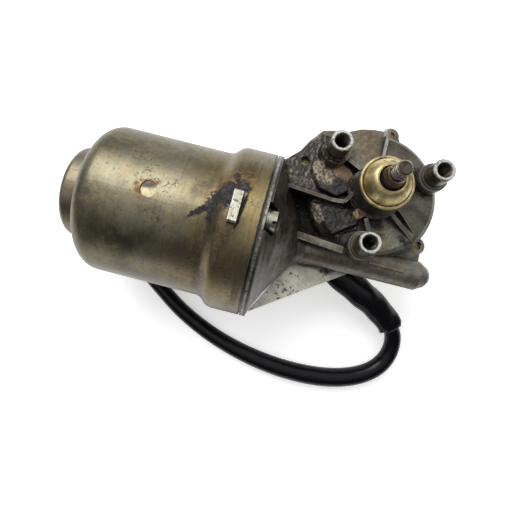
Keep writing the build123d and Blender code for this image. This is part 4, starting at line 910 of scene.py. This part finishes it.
# output shaft: the solid up to its neck, and a cut thread above
shaftEnd = {
    "cut": 13.2, "bottom": 13.0, "neck": 13.6, "top": 19.8, "core": 2.3, "minor": 2.42, "major": 2.99,
    "pitch": 1.0, "chamfer": 0.8, "sides": 40, "rows": 64,
    "wear": 0.14, "wearSize": 700.0, "wearNoise": (0.8, 2.0, 3),
}
shaftMetal = wornMetal("shaftSteel", shaftLook)
shaft = cutCopy("output_shaft", "threadedShaft", (0, 0, shaftEnd["cut"] * mm), (0, 0, 1))
rod = ringedCylinder(
    shaftEnd["major"], shaftEnd["bottom"], shaftEnd["top"], shaftEnd["rows"], shaftEnd["sides"], "NGON"
)
for vertex in rod.data.vertices:
    height = vertex.co.z / mm
    radius = shaftEnd["core"]
    if height > shaftEnd["neck"]:
        ridge = helix(vertex.co, shaftEnd["pitch"])
        worn = abs(lumps.fractal(vertex.co * shaftEnd["wearSize"], *shaftEnd["wearNoise"]))
        radius = shaftEnd["minor"] + (shaftEnd["major"] - shaftEnd["minor"]) * ridge - worn * shaftEnd["wear"]
        radius = min(radius, shaftEnd["major"] - (height - shaftEnd["top"] + shaftEnd["chamfer"]))
    vertex.co.xy = vertex.co.xy.normalized() * (radius * mm)
finished(joined(shaft, rod), "threadedShaft", "output", shaftMetal, ("output_shaft",))
print("shaft threaded")

# old grease draped over the casting between its ribs
grease = {
    "greaseAbove": {
        "outline": (
            (-42.0, -4.9), (-42.0, 6.0), (-36.0, 11.4), (-33.0, 17.0), (-28.5, 22.6),
            (-24.0, 22.0), (-24.2, 13.0), (-17.5, 11.4), (-10.5, 7.6), (-9.9, 3.0),
            (-10.2, -2.2), (-13.4, -6.6), (-17.5, -6.8),
        ),
        "thick": 0.22, "rugged": 0.55, "scale": 520.0,
    },
    "greaseBelow": {
        "outline": (
            (-39.5, -7.4), (-17.8, -9.5), (-12.4, -9.3), (-9.0, -5.0), (-6.0, -8.4), (-3.0, -13.6),
            (-2.8, -18.0), (-8.5, -21.5), (-9.5, -26.6), (-33.5, -24.4), (-38.5, -18.0),
        ),
        "thick": 0.35, "rugged": 1.0, "scale": 430.0,
    },
}
greaseSkin = {
    "step": 0.4, "rim": 1.0, "sink": 0.9, "wall": 0.3, "fill": 6, "above": 50.0, "missed": -24.5, "least": 0.05,
    "waves": 0.35, "waveNoise": (0.7, 2.1, 4),
    "folds": 0.3, "foldNoise": (0.9, 2.0, 3), "foldSize": 1.7, "foldShift": (9, 4, 2), "foldSlope": 2.0,
}


def inside(outline, x, y):
    # whether (x, y) is inside the outline, and how far from its border
    within = False
    nearest = 1000.0
    for (ax, ay), (bx, by) in zip(outline, outline[1:] + outline[:1]):
        if (ay > y) != (by > y) and x < (bx - ax) * (y - ay) / (by - ay) + ax:
            within = not within
        share = ((x - ax) * (bx - ax) + (y - ay) * (by - ay)) / ((bx - ax) ** 2 + (by - ay) ** 2)
        share = min(1.0, max(0.0, share))
        nearest = min(nearest, math.hypot(x - ax - share * (bx - ax), y - ay - share * (by - ay)))
    return within, nearest


def drapedGrease(name, entry, skin, material):
    # a grid dropped on the casting, its hollows filled, then raised in waves and folds inside the outline
    outline = entry["outline"]
    west, east = min(x for x, y in outline), max(x for x, y in outline)
    south, north = min(y for x, y in outline), max(y for x, y in outline)
    bpy.ops.object.select_all(action="DESELECT")
    columns, rows = int((east - west) / skin["step"]), int((north - south) / skin["step"])
    bpy.ops.mesh.primitive_grid_add(x_subdivisions=columns, y_subdivisions=rows, size=1.0)
    obj = bpy.context.object
    for vertex in obj.data.vertices:
        x = west + (vertex.co.x + 0.5) * (east - west)
        y = south + (vertex.co.y + 0.5) * (north - south)
        start = Vector((x, y, skin["above"])) * mm
        hit, found = nodes["gear_housing"].ray_cast(start, Vector((0, 0, -1)))[:2]
        vertex.co = (x * mm, y * mm, found.z if hit else skin["missed"] * mm)
    floorHeights = [vertex.co.z for vertex in obj.data.vertices]
    chosen(obj, "VERT", lambda vertex: True)
    bpy.ops.mesh.vertices_smooth(factor=0.5, repeat=skin["fill"], xaxis=False, yaxis=False, zaxis=True)
    bpy.ops.object.mode_set(mode="OBJECT")
    for vertex, floorHeight in zip(obj.data.vertices, floorHeights):
        x, y = vertex.co.x / mm, vertex.co.y / mm
        within, border = inside(outline, x, y)
        lift = min(1.0, border / skin["rim"]) if within else 0.0
        place = Vector((vertex.co.x, vertex.co.y, 0)) * entry["scale"]
        wave = lumps.fractal(place, *skin["waveNoise"])
        fold = lumps.fractal(place * skin["foldSize"] + Vector(skin["foldShift"]), *skin["foldNoise"])
        fold = 1.0 - abs(fold) * skin["foldSlope"]
        rise = entry["thick"] + entry["rugged"] * (skin["waves"] * wave + skin["folds"] * fold)
        rise = lift * max(skin["least"], rise) - (1.0 - lift) * skin["sink"]
        vertex.co.z = max(vertex.co.z, floorHeight) + rise * mm
    chosen(obj, "FACE", lambda face: not inside(outline, *(face.calc_center_median().xy / mm))[0])
    bpy.ops.mesh.delete(type="FACE")
    bpy.ops.object.mode_set(mode="OBJECT")
    applied(obj, "SOLIDIFY", thickness=skin["wall"] * mm, offset=-1.0)
    finished(obj, name, "housing", material)
    bpy.ops.object.shade_smooth()


greaseLook = dict(
    castLook, light=rgb(0.050, 0.040, 0.034), dark=rgb(0.020, 0.016, 0.015),
    mottleColour=rgb(0.075, 0.055, 0.04), metal=0.35, rough=(0.08, 0.24), shine=0.4,
    edge=0.0, pits=0.5, scratch=0.1,
    grimeAndShadeReach=6.0, grimeAndShadeRange=(0.72, 0.40), grimeAndShadeColour=rgb(0.005, 0.004, 0.004), grimeAndShadeRough=0.15,
    crustScale=0.75, bump=0.9, bumpDepth=0.3,
    placedMarks=(
        placedMark(
            rgb(0.20, 0.172, 0.12), rgb(0.022, 0.017, 0.014), strength=0.88, rough=0.34,
            edge=0.3, fleckRange=(0.42, 0.50), film=0.7,
            blobs=(((-39.0, 1.5, -16.5), (5.0, 4.5, 4.0), 0), ((-31.0, -2.0, -16.5), (9.0, 2.0, 4.0), -8)),
        ),
        placedMark(
            rgb(0.016, 0.012, 0.013), rgb(0.055, 0.042, 0.042), strength=0.9, rough=0.18,
            edge=0.25, lumps=0.5, fleckRange=(0.46, 0.7),
            blobs=(((-17.5, -1.2, -15.0), (9.5, 3.6, 5.0), 0), ((-14.0, -15.5, -15.0), (10.5, 6.0, 5.0), -20)),
        ),
        placedMark(
            rgb(0.26, 0.155, 0.072), rgb(0.55, 0.39, 0.25), strength=0.92, rough=0.26,
            edge=0.3, lumps=0.6, fleckRange=(0.4, 0.65),
            blobs=(((-15.6, 6.0, -14.5), (4.4, 3.2, 5.0), -15), ((-4.8, -11.6, -13.0), (2.8, 2.4, 3.6), 0)),
        ),
        # tan crust on the left, light-facing sides of the two pads: partly real crust and partly painted
        # highlight
        placedMark(
            rgb(0.10, 0.065, 0.038), rgb(0.66, 0.56, 0.42), strength=0.95, rough=0.34,
            edge=0.3, lumps=1.0, fleckRange=(0.43, 0.56),
            blobs=(
                ((-26.6, 4.4, -14.5), (2.6, 5.0, 4.0), 12), ((-22.2, 2.0, -14.5), (3.2, 3.2, 4.0), 0),
                ((-23.2, -14.2, -15.0), (2.0, 6.2, 4.0), 36),
            ),
        ),
        placedMark(
            *greaseBlack, strength=0.97, rough=0.20, edge=0.22, lumps=1.0, fleckRange=(0.5, 0.75),
            blobs=(
                ((-31.0, -16.0, -23.0), (9.5, 13.5, 7.2), 0), ((-24.5, -19.0, -21.0), (3.0, 9.0, 5.0), 20),
                ((-10.0, -6.0, -19.0), (7.0, 4.2, 2.6), -30), ((-12.0, -24.0, -19.0), (9.0, 4.2, 2.8), -25),
            ),
        ),
    ),
)
greaseFinish = wornMetal("oldGrease", greaseLook)
greaseFinish.node_tree.nodes["Principled BSDF"].inputs["Specular IOR Level"].default_value = greaseLook["shine"]
for name, entry in grease.items():
    drapedGrease(name, entry, greaseSkin, greaseFinish)
print("grease laid")

# rubber, plastic and the inside
plastics = {
    # node: material's name, colour, dust, roughness, ripple
    "cable_gland": ("glandRubber", rgb(0.006, 0.006, 0.006), rgb(0.04, 0.035, 0.03), 0.38, 0.4),
    "shaft_seal": ("sealRubber", rgb(0.006, 0.006, 0.006), rgb(0.03, 0.025, 0.02), 0.42, 0.3),
    "connector_shell": ("plugPlastic", rgb(0.012, 0.012, 0.012), rgb(0.05, 0.05, 0.045), 0.32, 0.2),
    "brush_plate": ("laminate", rgb(0.20, 0.10, 0.04), rgb(0.10, 0.05, 0.03), 0.45, 0.3),
    "worm_wheel": ("nylon", rgb(0.72, 0.69, 0.58), rgb(0.45, 0.33, 0.14), 0.35, 0.3),
    "carbon_brushes": ("carbon", rgb(0.03, 0.03, 0.03), rgb(0.10, 0.10, 0.10), 0.5, 0.3),
    "park_switch_base": ("park_switch_basePlastic", rgb(0.02, 0.02, 0.02), rgb(0.1, 0.1, 0.1), 0.4, 0.2),
    "thrust_pad": ("thrust_padPlastic", rgb(0.02, 0.02, 0.02), rgb(0.1, 0.1, 0.1), 0.4, 0.2),
}
for nodeName, recipe in plastics.items():
    dress(nodeName, plasticMaterial(*recipe))
gasketCut = {"edge": -34.6}  # the tail of the cover lies bare beyond this line
gasketPaper = plasticMaterial("gasketPaper", rgb(0.06, 0.04, 0.025), rgb(0.02, 0.014, 0.01), 0.6, 0.6)
gasket = cutCopy("cover_gasket", "trimmedGasket", (0, gasketCut["edge"] * mm, 0), (0, -1, 0))
finished(gasket, "trimmedGasket", "housing", gasketPaper, ("cover_gasket",))
insideMetals = {
    "steel": (rgb(0.55, 0.55, 0.54), rgb(0.36, 0.35, 0.33)),
    "bronze": (rgb(0.62, 0.42, 0.20), rgb(0.40, 0.25, 0.11)),
    "copper": (rgb(0.75, 0.38, 0.20), rgb(0.45, 0.20, 0.10)),
    "ferrite": (rgb(0.12, 0.12, 0.13), rgb(0.06, 0.06, 0.065)),
}
insideNodes = {
    "rear_bush": "bronze", "bush_retainer": "steel", "field_magnets": "ferrite", "magnet_clips": "steel",
    "armature_core": "steel", "armature_windings": "copper", "commutator": "copper", "armature_shaft": "steel",
    "wheel_hub": "steel", "tail_washer": "steel", "retaining_clip": "steel", "park_disc": "copper",
    "thrust_washer": "bronze", "lower_shaft_bush": "bronze", "upper_shaft_bush": "bronze",
    "centre_bush": "bronze", "worm_end_bush": "bronze", "thrust_ball": "steel", "brush_plate_screws": "steel",
    "brush_boxes": "bronze", "brush_springs": "steel", "park_switch_fingers": "copper",
    "connector_terminals": "bronze",
}
insideMade = {
    key: wornMetal(key + "Inside", dict(plainLook, light=light, dark=dark))
    for key, (light, dark) in insideMetals.items()
}
for nodeName, key in insideNodes.items():
    dress(nodeName, insideMade[key])
print("materials set")
